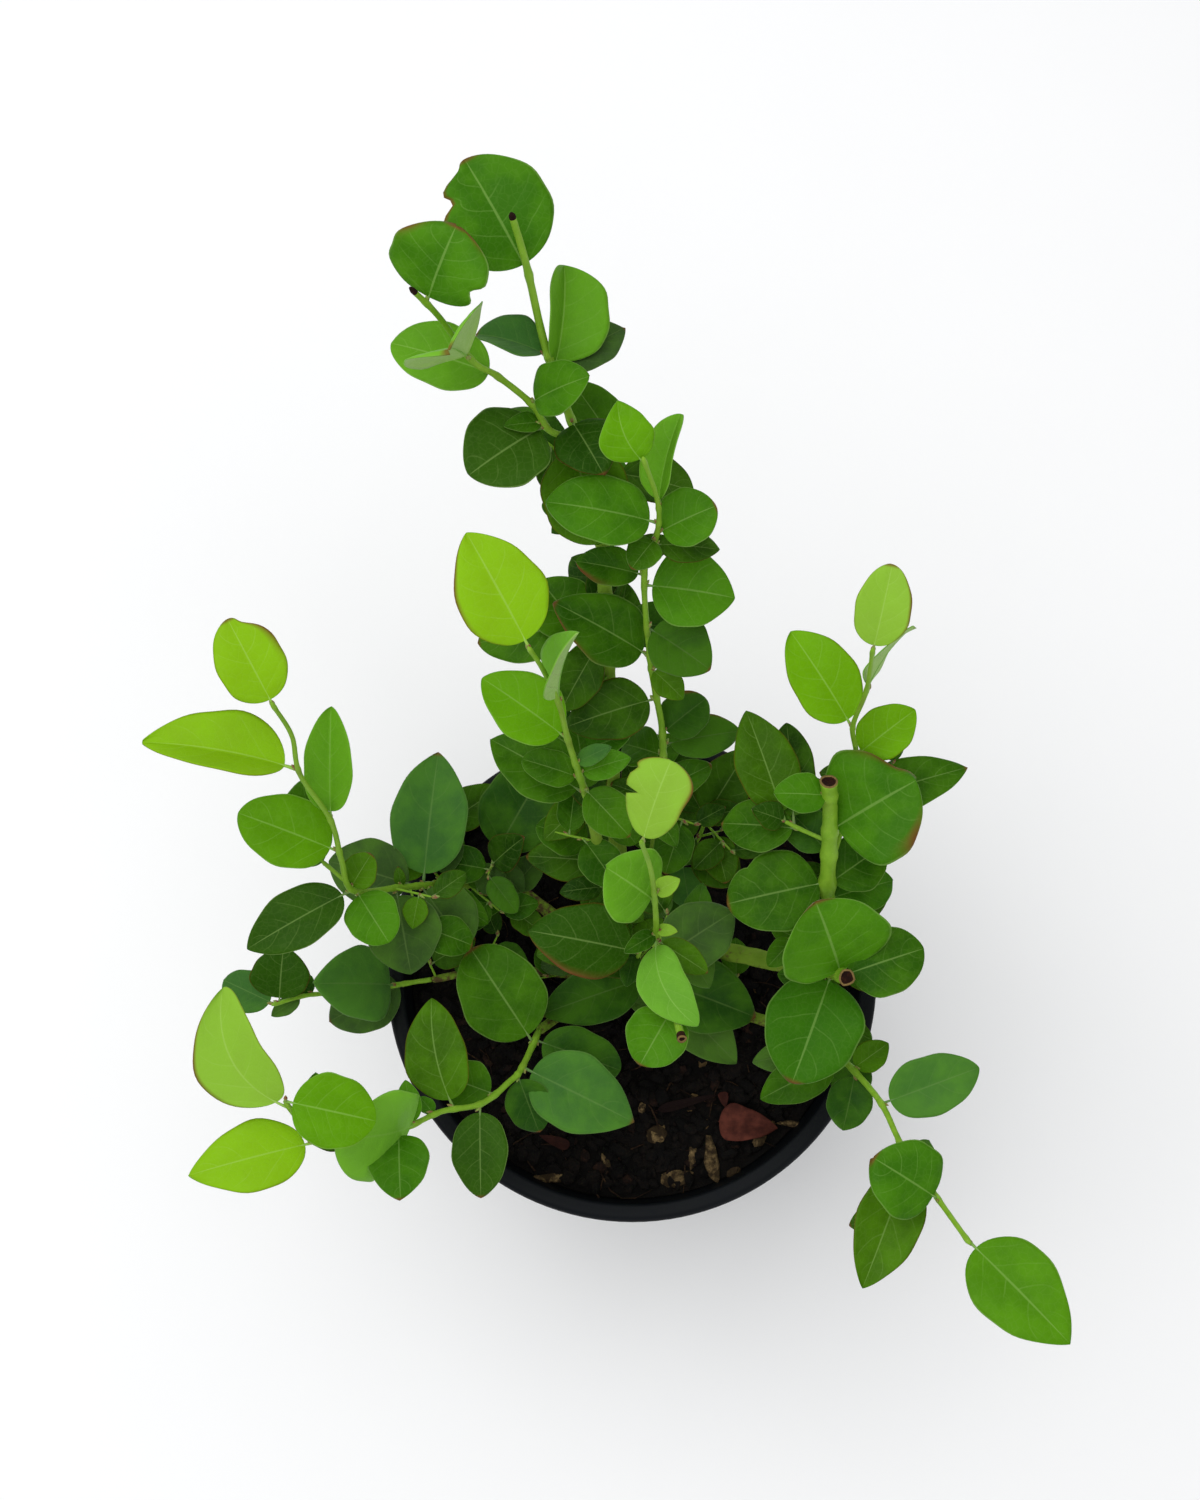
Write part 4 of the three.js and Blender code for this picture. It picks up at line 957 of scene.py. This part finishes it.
    def grow_fine_twig(self, name, carrier, share, pick):
        bearing, rise = pick.uniform(0, 360), pick.uniform(*FINE_TWIG_RISE)
        length = pick.uniform(*FINE_TWIG_LENGTH)
        start = self.limbs[carrier].at(share)
        twig = Limb(start, [[bearing, rise, length]], FINE_TWIG_THICK, carrier)
        spots = twig.at(np.array([0.5, 1]))
        hidden = self.in_back_gap(spots) or self.in_shade(spots).all()
        if not hidden or not self.has_room(twig, carrier):
            return False
        leaves = []
        for i in range(3):
            long = pick.uniform(*FINE_LEAF_LENGTH)
            tint = FINE_TINTS[pick.integers(len(FINE_TINTS))]
            row = [tint, (i + 1) / 3, bearing + LEAF_TURN * (i + 1), pick.uniform(*TWIG_LEAF_RISE),
                   long, long * pick.uniform(0.55, 0.75), pick.random()]
            leaf = self.try_leaf(name, carrier, twig, row, self.leaves + leaves)
            if leaf and (self.in_back_gap(leaf.parts) or self.is_hidden(leaf)):
                leaves.append(leaf)
        if len(leaves) < TWIG_LEAST_LEAVES:
            return False
        self.limbs[name] = twig
        self.leaves += leaves
        return True


# ---- Pot ----
POT_HEIGHT = 160
POT_RIM_RADIUS = 82.5
POT_FOOT_RADIUS = 62
POT_WALL = 2
LIP_HEIGHT = 11
LIP_WIDTH = 5
DRAIN_HOLES = 6
DRAIN_RADIUS = 6
DRAIN_CIRCLE = 46
POT_SIDES = 128
EDGE_ANGLE = 35        # degrees above which an edge of the pot stays sharp


def wall_radius(height):
    under = POT_RIM_RADIUS - LIP_WIDTH + POT_WALL / 2
    return POT_FOOT_RADIUS + (under - POT_FOOT_RADIUS) * height / POT_HEIGHT


def bore_radius(height):
    return wall_radius(height) - POT_WALL


def spun(bm, profile, sides):
    """Turns a profile of (radius, height) into a closed round body."""
    points = [bm.verts.new((radius, 0, height)) for radius, height in profile]
    edges = [bm.edges.new(pair) for pair in zip(points, points[1:])]
    bmesh.ops.spin(bm, geom=points + edges, cent=(0, 0, 0), axis=(0, 0, 1), dvec=(0, 0, 0),
                   angle=2 * math.pi, steps=sides, use_merge=True)
    bmesh.ops.remove_doubles(bm, verts=bm.verts, dist=1e-4)
    bmesh.ops.recalc_face_normals(bm, faces=bm.faces)


def round_corner(centre, radius, start, end, steps=5):
    turns = [math.radians(start + (end - start) * i / steps) for i in range(steps + 1)]
    return [(centre[0] + radius * math.cos(a), centre[1] + radius * math.sin(a)) for a in turns]


def pot_profile():
    foot, lip = POT_FOOT_RADIUS, POT_HEIGHT - LIP_HEIGHT
    rim, inner = POT_RIM_RADIUS, bore_radius(POT_HEIGHT)
    outside = [(wall_radius(h), h) for h in np.linspace(6, lip - 9, 12)]
    step = [(wall_radius(lip - 8) + 0.9, lip - 7), (wall_radius(lip) + 0.9, lip)]
    return [
        (0, 0.8), (foot - 8, 0.8), (foot - 6.5, 0), (foot - 2, 0),
        *round_corner((foot - 2, 2), 2, -90, -8),
        *outside, *step,
        *round_corner((rim - 1.6, lip + 1.6), 1.6, -90, 0),
        *round_corner((rim - 2.2, POT_HEIGHT - 2.2), 2.2, 0, 90),
        (inner + 2.4, POT_HEIGHT - 0.3),
        *round_corner((inner + 1.4, POT_HEIGHT - 1.8), 1.4, 90, 180),
        (bore_radius(SOIL_TOP), SOIL_TOP), (bore_radius(POT_WALL), POT_WALL), (0, POT_WALL),
    ]


def make_pot():
    bm = bmesh.new()
    spun(bm, pot_profile(), POT_SIDES)
    pot = scaled_object(bm, "moulded_pot", [plastic_finish()])
    holes = bmesh.new()
    for i in range(DRAIN_HOLES):
        turn = 2 * math.pi * i / DRAIN_HOLES
        made = bmesh.ops.create_cone(holes, cap_ends=True, segments=40, radius1=DRAIN_RADIUS,
                                     radius2=DRAIN_RADIUS, depth=4 * POT_WALL)
        place = (DRAIN_CIRCLE * math.cos(turn), DRAIN_CIRCLE * math.sin(turn), POT_WALL / 2)
        bmesh.ops.translate(holes, vec=place, verts=made["verts"])
    cutter = scaled_object(holes, "drain_cutter", [])
    cut = pot.modifiers.new("drain_holes", "BOOLEAN")
    cut.object, cut.solver = cutter, "EXACT"
    bake_modifiers(pot)
    bpy.data.objects.remove(cutter)
    shade_by_angle(pot, EDGE_ANGLE)
    dress(pot, "pot_plastic", "pot")


def bake_modifiers(piece):
    """Makes the mesh what its modifiers show, and drops them."""
    graph = bpy.context.evaluated_depsgraph_get()
    made = bpy.data.meshes.new_from_object(piece.evaluated_get(graph))
    piece.modifiers.clear()
    old, piece.data = piece.data, made
    bpy.data.meshes.remove(old)


def shade_by_angle(piece, degrees):
    mesh = piece.data
    bm = bmesh.new()
    bm.from_mesh(mesh)
    for edge in bm.edges:
        edge.smooth = edge.calc_face_angle(0) < math.radians(degrees)
    for face in bm.faces:
        face.smooth = True
    bm.to_mesh(mesh)
    bm.free()


# ---- Potting mix ----
GAP = 0.3              # between the mix and the pot
SOIL_BUMP = 1.6
MIX_SIDES = 220
MIX_RINGS = 70
CLEAR_OF_CROWN = 13
CLEAR_OF_WALL = 3

# Crumbs on the mix: how many, seed, least and greatest size, flatness, dark and light colour.
CRUMBS = {
    "bark_crumbs": (2600, 5, [1.0, 4.2], 0.55, (0.03, 0.026, 0.024), (0.12, 0.09, 0.07)),
    "brown_crumbs": (330, 6, [0.8, 3.4], 0.5, (0.08, 0.05, 0.04), (0.22, 0.14, 0.1)),
    "tan_chips": (34, 7, [1.4, 3.4], 0.35, (0.3, 0.23, 0.14), (0.55, 0.46, 0.3)),
}


def mix_radius(height):
    return bore_radius(height) - GAP


def soil_height(x, y):
    """The height of the solid mix, whose gentle waves die out towards the wall."""
    wave = math.sin(x * 0.11 + 1) * math.cos(y * 0.13) + 0.5 * math.sin(x * 0.23 - y * 0.19)
    settled = min(1, max(0, 2 - 2 * math.hypot(x, y) / mix_radius(SOIL_TOP)))
    return SOIL_TOP + SOIL_BUMP / 1.5 * wave * settled


def soil_surface(x, y):
    """The soil's own height with clods and crumbs on it."""
    clods = noise.fractal(Vector((x, y, 0)) * 0.11, 0.8, 2.1, 4)
    crumbs = noise.fractal(Vector((x, y, 9)) * 0.5, 0.7, 2.0, 3)
    return soil_height(x, y) + 1.5 * clods + 0.7 * crumbs


def make_soil():
    bm = bmesh.new()
    floor, edge = POT_WALL + GAP, mix_radius(SOIL_TOP)
    rings = [(edge * math.sqrt(i / MIX_RINGS), SOIL_TOP) for i in range(MIX_RINGS - 1, -1, -1)]
    spun(bm, [(0, floor), (mix_radius(floor), floor), (mix_radius(SOIL_TOP - 4), SOIL_TOP - 4),
              (edge, SOIL_TOP), *rings], MIX_SIDES)
    for vert in bm.verts:
        if vert.co.z > SOIL_TOP - 1 and math.hypot(vert.co.x, vert.co.y) < edge - 0.4:
            vert.co.z = soil_surface(vert.co.x, vert.co.y)
    finish = crumb_finish("peat", (0.03, 0.025, 0.022), (0.1, 0.075, 0.06))
    dress(scaled_object(bm, "potting_mix_bed", [finish]), "potting_mix", "soil")


def strewn(count, seed, sizes, flat):
    """Places on the soil at random, even over the bed: (point, stretch, turn) and the dice."""
    pick = np.random.default_rng(seed)
    edge = mix_radius(SOIL_TOP) - CLEAR_OF_WALL
    found = []
    while len(found) < count:
        x, y = pick.uniform(-edge, edge, 2)
        if CLEAR_OF_CROWN < math.hypot(x, y) < edge:
            size = sizes[0] + (sizes[1] - sizes[0]) * pick.random() ** 2.5
            turn = turned_matrix(pick.uniform(0, 360), pick.normal(0, 22), pick.normal(0, 22))
            stretch = np.array([1, pick.uniform(0.45, 0.8), flat * pick.uniform(0.7, 1.3)]) * size
            height = soil_surface(x, y) + 0.35 * stretch[2]
            found.append((np.array([x, y, height]), stretch, turn))
    return found, pick


def turned_matrix(bearing, rise, roll):
    along = direction(bearing, rise)
    level = np.array([-math.sin(math.radians(bearing)), math.cos(math.radians(bearing)), 0])
    up = np.cross(along, level)
    side = level * math.cos(math.radians(roll)) + up * math.sin(math.radians(roll))
    return np.stack([along, side, np.cross(along, side)])


def make_crumbs():
    blank = ball_blank(1)
    for name, (count, seed, sizes, flat, dark, light) in CRUMBS.items():
        places, pick = strewn(count, seed, sizes, flat)
        copies = [place + (blank.roughened(pick, 0.22) * stretch) @ turn
                  for place, stretch, turn in places]
        piece = join_copies(name, blank, copies, [crumb_finish(name, dark, light)], smooth=False)
        dress(piece, "potting_mix")


def make_fibres():
    """Thin roots and bark fibres lying on the mix."""
    bm = bmesh.new()
    add_tube(bm, 5, 4, 0.4)
    blank = Blank(bm)
    across, along, share = blank.points.T
    copies = []
    places, pick = strewn(110, 8, [1, 3], 0.3)
    for place, _, _ in places:
        length, thick = pick.uniform(5, 20), pick.uniform(0.18, 0.5)
        bend = pick.normal(0, 0.14) * length * (share**2 - 0.25) * 4
        local = np.stack([share * length, along * thick + bend, across * thick], 1)
        turn = turned_matrix(pick.uniform(0, 360), pick.normal(0, 5), 0)
        copies.append(place + local @ turn + [0, 0, 0.6])
    finish = crumb_finish("fibre", (0.12, 0.08, 0.055), (0.32, 0.23, 0.15), 900)
    dress(join_copies("mix_fibres", blank, copies, [finish]), "potting_mix")


# Bark chips that lie on top: [x, y, bearing, length, width].
LAID_CHIPS = [
    [8.5, -53.7, 20, 7, 6], [27, -62, 98, 15, 5], [20.5, -60, 86, 10, 2.6], [15, -68, 8, 11, 6],
    [-27, -68, 4, 14, 3.6], [54, -50, -4, 12, 2], [43, -55, 70, 6, 4], [3.5, -45, 80, 5, 2.4],
    [-9, -62, 130, 6, 2.4], [34, -66, 30, 5, 2.6],
]
# Dead leaves on the mix: [x, y, bearing, rise, length, width, how dark].
DEAD_LEAVES = [
    [27.5, -49, -7, 2, 22, 13, 0], [7, -46, 14, 3, 23, 3.4, 1], [30.5, -39, -80, 8, 6, 3.6, 0.5],
    [-20, -58, 160, 4, 12, 4, 0.8],
]


def make_chips():
    blank = ball_blank(2)
    pick = np.random.default_rng(16)
    copies = []
    for x, y, bearing, length, width in LAID_CHIPS:
        local = blank.roughened(pick, 0.2) * [length / 2, width / 2, 1.1]
        copies.append([x, y, soil_surface(x, y) + 1.2] + local @ turned_matrix(bearing, 0, 0))
    finish = crumb_finish("bleached_chips", (0.16, 0.12, 0.07), (0.6, 0.5, 0.34), 500)
    dress(join_copies("bleached_chips", blank, copies, [finish], smooth=False), "potting_mix")


def make_dead_leaves():
    blank = leaf_blank()
    pick = np.random.default_rng(9)
    copies, shades = [], []
    for x, y, bearing, rise, length, width, shade in DEAD_LEAVES:
        row = ["dead", 0, bearing, rise, length, width, 0.9, {"fold": 16, "widest": 0.2}]
        leaf = Leaf("", np.array([x, y, SOIL_TOP + 3.2]), row, 0)
        points = shaped_leaf(leaf, blank, pick)[0]
        copies.append(points - np.outer(blank.rib, [0, 0, 3]))
        shades.append(np.full(len(blank.points), float(shade)))
    finishes = [dead_leaf_finish()] * 3
    dress(join_copies("dead_leaves", blank, copies, finishes, {"shade": shades}), "potting_mix")


# ---- Stems ----
STEM_SLIM = 0.68       # a soft stem beside its solid, which stands for its small knobs too
CANE_SLIM = 0.94
SKIN, WOOD, PITH = 0, 1, 2
# How finely each kind of limb is drawn: its sides, the height of a ring, how rough its skin is.
DRAWN = {"crown": (48, 0.6, 0.16), "cane": (18, 1.4, 0.1), "shoot": (14, 1.2, 0.05)}


def rod(bm, limb, sides, step, swell, slim, cut, dead_tip):
    """Adds a closed rod along a limb. swell(share, turn) is how much thicker it is at a spot."""
    steps = max(4, round(limb.length / step))
    frames = limb_frames(limb, steps)
    shares = {vert: vert.co.z + 0.5 for vert in add_tube(bm, sides, steps)}
    for vert, share in shares.items():
        centre, side, other = frames[round(share * steps)]
        turn = math.atan2(vert.co.y, vert.co.x)
        radius = slim * limb.radius(share) * swell(share, turn)
        vert.co = (centre + radius * (math.cos(turn) * side + math.sin(turn) * other)).tolist()
    faces = {f for v in shares for f in v.link_faces}
    for face in faces:
        end = limb.length - min(shares[v] for v in face.verts) * limb.length
        face.material_index = PITH if end <= dead_tip else SKIN
    if cut:
        cut_end(bm, [f for f in faces if len(f.verts) == sides], limb)


def limb_frames(limb, steps):
    """The middle of each ring of a limb and two directions across it, without a twist."""
    shares = np.arange(steps + 1) / steps
    centres = limb.at(shares)
    ahead, behind = limb.at(shares + 0.5 / steps), limb.at(shares - 0.5 / steps)
    side = np.array([1.0, 0, 0])
    frames = []
    for centre, along in zip(centres, ahead - behind):
        along = unit(along)
        side = unit(side - along * side.dot(along))
        frames.append((centre, side, np.cross(along, side)))
    return frames


def cut_end(bm, caps, limb):
    """Gives a pruned stem its flared rim, brown wood and sunken pith."""
    end = Vector(limb.at(1.0).tolist())
    cap = min(caps, key=lambda face: (face.calc_center_median() - end).length)
    ring = bmesh.ops.inset_region(bm, faces=[cap], thickness=0.6, depth=0.15)["faces"]
    pith = bmesh.ops.inset_region(bm, faces=[cap], thickness=0.4, depth=-0.5)["faces"]
    for face in ring:
        face.material_index = WOOD
    for face in [*pith, cap]:
        face.material_index = PITH


def stem_swell(leaves, name, limb, rough, seed, cut):
    """How a stem departs from a plain taper: leaf nodes, ridges, knobs and a flared cut."""
    places = np.array([leaf.place for leaf in leaves if leaf.stem == name] or [-9])

    def swell(share, turn):
        nodes = np.exp(-((share - places) * limb.length / 1.5) ** 2).max()
        spot = Vector((math.cos(turn), math.sin(turn), share * limb.length * 0.25)) * 1.4
        grain = noise.noise(spot + Vector((seed * 7.3, 0, 0)))
        flare = max(0, share - 0.93) * (4 + 2 * grain) if cut else 0
        tip = 1 if cut else min(1, (1 - share) * limb.length / 2 + 0.5)
        return (1 + 0.24 * nodes + rough * grain + flare) * tip
    return swell


def make_stems(plant):
    woody, soft = bmesh.new(), bmesh.new()
    woody_names = ["crown", *CANES]
    for seed, (name, limb) in enumerate(plant.limbs.items()):
        sides, step, rough = DRAWN.get(name, DRAWN["cane" if name in CANES else "shoot"])
        pruned = name in CUT_STEMS
        swell = stem_swell(plant.leaves, name, limb, rough, seed, pruned)
        slim = CANE_SLIM if pruned or name in woody_names else STEM_SLIM
        dead_tip = DEAD_TIP if name in DIED_BACK else -1
        bm = woody if name in woody_names else soft
        rod(bm, limb, sides, step, swell, slim, pruned, dead_tip)
    dress(scaled_object(woody, "woody_canes", [bark_finish()]), "bark", *woody_names)
    soft_names = [name for name in plant.limbs if name not in woody_names and "." not in name]
    pith = crumb_finish("dark_pith", (0.12, 0.05, 0.03), (0.3, 0.15, 0.08), 1500)
    finishes = [stem_finish(), cut_wood_finish(), pith]
    dress(scaled_object(soft, "green_stems", finishes), "leaf", *soft_names)


# ---- Buds ----
def make_buds(plant):
    """A small pointed bud in the angle between each leaf and its stem."""
    blank = ball_blank(2)
    shape = blank.points.copy()
    shape[:, :2] *= 1 - 0.55 * np.clip(shape[:, 2:3], 0, 1)
    copies = []
    pick = np.random.default_rng(12)
    for leaf in plant.leaves:
        limb = plant.limbs[leaf.stem]
        ahead = unit(limb.at(min(1.0, leaf.place + 0.02)) - limb.at(max(0.0, leaf.place - 0.02)))
        out = unit(leaf.along - ahead * leaf.along.dot(ahead))
        up = unit(ahead + 0.45 * out)
        side = np.cross(up, out)
        size = pick.uniform(0.7, 1.15)
        foot = leaf.foot + ahead * 1.1 + out * limb.radius(leaf.place) * 0.85
        local = shape * [0.75 * size, 0.6 * size, 1.35 * size]
        copies.append(foot + local @ np.stack([side, np.cross(up, side), up]))
    dress(join_copies("buds", blank, copies, [bud_finish()]), "leaf")


# ---- Leaves ----
STALK = 0.09           # the share of a leaf's length that is stalk
WIDEST = 0.42          # where along the blade it is widest
BLADE_ROWS = 30
BLADE_COLUMNS = 16
BLADE_THICKNESS = 0.3
QUILT = 0.15           # how deep the veins lie between the panels of a leaf as wide as usual
USUAL_WIDTH = 25
RIPPLE = 0.018         # how uneven the margin is, and how much it waves and curls under
WAVE = 0.035
CURL = 0.05
BROWN_TIPS = 0.35      # the share of leaves whose very tip is dead
RIB_SIDES = 6
RIB_RINGS = 14
TOP, UNDER, RIB = 0, 1, 2

# The colour of the blade in each tint, as seen on a screen.
TINTS = {
    "lime": (0.48, 0.66, 0.05), "apple": (0.38, 0.59, 0.01), "pale": (0.5, 0.66, 0.2),
    "fold": (0.4, 0.63, 0.15), "bright": (0.33, 0.545, 0.01), "fresh": (0.335, 0.55, 0.1),
    "mid": (0.2, 0.4, 0.025), "leafy": (0.18, 0.385, 0.025), "deep": (0.142, 0.305, 0.005),
    "dark": (0.105, 0.23, 0.01), "blue": (0.215, 0.39, 0.15), "navy": (0.125, 0.275, 0.04),
    "sage": (0.2, 0.31, 0.12), "olive": (0.21, 0.36, 0.01), "spring": (0.38, 0.6, 0.17),
    "clear": (0.26, 0.465, 0.02), "night": (0.15, 0.285, 0.03), "ink": (0.115, 0.255, 0.005),
}
EVEN = ["leafy", "night", "ink"]       # tints that hardly lighten towards the margin
REDDENED = ["lime", "apple", "pale", "olive", "dark", "ink"]    # tints with a red-brown margin
WAXY = {"blue": 0.06, "navy": 0.05, "sage": 0.08, "fold": 0.05}


def leaf_blank():
    """A flat closed blade from -1 to 1 across and 0 to 1 along, and a rod for its stalk and rib."""
    bm = bmesh.new()
    bmesh.ops.create_grid(bm, x_segments=BLADE_COLUMNS, y_segments=BLADE_ROWS, size=1)
    for end in (-1, 1):
        row = [v for v in bm.verts if abs(v.co.y - end) < 1e-4]
        bmesh.ops.pointmerge(bm, verts=row, merge_co=(0, end, 0))
    bmesh.ops.solidify(bm, geom=bm.faces[:] + bm.edges[:] + bm.verts[:], thickness=1)
    bmesh.ops.recalc_face_normals(bm, faces=bm.faces)
    heights = [v.co.z for v in bm.verts]
    low, high = min(heights), max(heights)
    for vert in bm.verts:
        vert.co.z = 1 if vert.co.z > (low + high) / 2 else -1
        vert.co.y = (vert.co.y + 1) / 2
    for face in bm.faces:
        face.material_index = UNDER if all(v.co.z < 0 for v in face.verts) else TOP
    first = len(bm.verts)
    for vert in add_tube(bm, RIB_SIDES, RIB_RINGS):
        vert.co = (vert.co.x, vert.co.z + 0.5, vert.co.y)
        for face in vert.link_faces:
            face.material_index = RIB
    blank = Blank(bm)
    blank.rib = np.arange(len(blank.points)) >= first
    return blank


def eased(share):
    """Sets the rows of a blade closer towards its base and its tip."""
    return 0.5 - 0.5 * np.cos(np.pi * share)


def blade_width(share, point, widest=WIDEST):
    """Half the blade's width at a share of its length: a round base, and a blunt to sharp tip."""
    base = np.sqrt(np.clip(1 - (1 - np.minimum(share / widest, 1)) ** 2, 0, 1))
    out = np.clip((share - widest) / (1 - widest), 0, 1)
    tip = (1 - out ** (2.1 - 0.35 * point)) ** (0.52 + 0.4 * point)
    return np.where(share < widest, base, tip)


def near_mark(share, across, mark):
    """How much a spot of the blade lies at a mark [side, place, depth, length]."""
    side, place, _, length = mark
    return np.exp(-((share - place) / length) ** 2) * (np.sign(across) == -side)


def shaped_leaf(leaf, blank, pick):
    """The points of one leaf, and how light and how browned each is."""
    across, share, level = blank.points.T
    share = np.where(blank.rib, share, eased(share))
    width = blade_width(share, leaf.point, leaf.shape.get("widest", WIDEST))
    for mark in leaf.shape.get("bites", []):
        width = width * (1 - mark[2] * near_mark(share, across, mark))
    phases = pick.uniform(0, 2 * np.pi, 4)
    own_light = pick.uniform(-0.12, 0.16)
    ripple = (np.sin(share * 17 + phases[0] + across * 2)
              + np.sin(share * 9 + phases[2] - across * 2.5))
    width = width * (1 + RIPPLE * ripple)
    out = across * width
    edge = np.abs(across)

    swept = share - VEIN_SWEEP * edge**VEIN_BEND
    turned = swept * SIDE_VEINS + own_light * VEIN_SHIFT + 0.25 * np.sign(across)
    away = np.abs((turned + 0.5) % 1 - 0.5)
    fade = np.clip((1 - edge) * 4, 0, 1)
    fade = fade * np.clip((1 - share) * 8, 0, 1) * np.clip(share * 8, 0, 1)
    panel = np.minimum(1, away * 3.2) * np.minimum(1, edge * 5) * fade
    quilt = QUILT * (leaf.width / USUAL_WIDTH) * (panel - 0.5 * np.minimum(1, edge * 4))
    swing = np.sin(share * pick.uniform(5, 8) + phases[1] + across * 1.2)
    wave = WAVE * leaf.width * swing * edge**2
    curl = -CURL * leaf.width * edge**3 * pick.uniform(-0.4, 1)
    above = quilt + wave * np.minimum(1, share * 5) + curl + level * BLADE_THICKNESS / 2
    station = STALK + (1 - STALK) * share
    blade = leaf.at(station, out, above * np.minimum(1, 0.3 + share * 6))

    along = np.clip(share * 0.95, 0, 1)
    thin = 0.56 - 0.28 * np.minimum(1, along / 0.14) - 0.2 * along
    thin = np.maximum(thin * (0.6 + 0.014 * leaf.length), 0.08)
    sunk = np.where(along > STALK, -0.35 * thin - 0.05, 0)
    rib = leaf.at(along, 0, sunk + level * thin) + (across * thin)[:, None] * leaf.side
    points = np.where(blank.rib[:, None], rib, blade)

    browned = np.zeros(len(points))
    for mark in leaf.shape.get("brown", []):
        rim = np.clip((edge - (1 - 0.45 * mark[2])) / (0.3 * mark[2]), 0, 1)
        browned = np.maximum(browned, near_mark(share, across, mark) * rim)
    tip = np.clip((share - 0.955) * 30, 0, 1) * (0.8 if pick.random() < BROWN_TIPS else 0)
    browned = np.where(blank.rib, 0, np.maximum(browned, tip))
    lighter = np.full(len(points), own_light)
    return points, lighter, np.clip(browned, 0, 1)


def blade_map(blank):
    """The corner places that the veins follow: across from 0 to 1, and along."""
    across, share, _ = blank.points[blank.corners].T
    return np.stack([across * 0.5 + 0.5, eased(share)], 1)


def bake_cell(blank):
    """Places of the corners in a cell of their own: top, underside and rib side by side."""
    across, share, level = blank.points[blank.corners].T
    along = eased(share)
    kind = np.repeat(blank.kinds, blank.sizes)
    rim = (kind == TOP) & (level < 0)
    width = blade_width(along, 0.45) * 0.21 + np.where(rim, 0.012, 0)
    x = np.where(kind == UNDER, 0.71, 0.24) + across * width
    y = 0.04 + 0.92 * along + np.where(rim, 0.012 * (2 * along - 1), 0)
    turn = np.arctan2(level, across) / (2 * math.pi) + 0.5
    x = np.where(kind == RIB, 0.955 + 0.035 * turn, x)
    return np.stack([x, np.where(kind == RIB, 0.04 + 0.92 * share, y)], 1)


def make_leaves(plant):
    blank = leaf_blank()
    veins, cell = blade_map(blank), bake_cell(blank)
    pick = np.random.default_rng(3)
    shaped = {leaf: shaped_leaf(leaf, blank, pick) for leaf in plant.leaves}
    for tint, colour in TINTS.items():
        leaves = [leaf for leaf in plant.leaves if leaf.tint == tint]
        if not leaves:
            continue
        columns = math.ceil(math.sqrt(len(leaves)))
        cells = [(cell + [i % columns, i // columns]) / columns for i in range(len(leaves))]
        copies, lighter, browned = zip(*[shaped[leaf] for leaf in leaves])
        name = f"leaves_{tint}"
        top = rgb(*colour)
        vein = mixed(top, rgb(0.75, 0.9, 0.5), 0.14 if tint in WAXY else 0.3)
        margin = mixed(top, rgb(0.45, 0.2, 0.1), 0.5) if tint in REDDENED else vein
        light = mixed(top, rgb(0.6, 0.92, 0.15), 0.03 if tint in EVEN else 0.1)
        finishes = [blade_finish(name, top, light, vein, margin, WAXY.get(tint, 0)),
                    underside_finish(f"{name}_under", mixed(top, rgb(0.58, 0.73, 0.36), 0.6)),
                    rib_finish(f"{name}_rib", vein, mixed(vein, top, 0.4))]
        piece = join_copies(name, blank, copies, finishes,
                            {"lighter": lighter, "browned": browned},
                            {"blade": [veins] * len(leaves), "OFBake": cells})
        dress(piece, "leaf", *sorted({leaf.stem for leaf in leaves if "." not in leaf.stem}))


for make in (add_camera, add_daylight, add_floor, make_pot, make_soil, make_crumbs, make_fibres,
             make_chips, make_dead_leaves):
    make()
bush = Plant()
bush.grow_fine_twigs(np.random.default_rng(21))
make_stems(bush)
make_leaves(bush)
make_buds(bush)
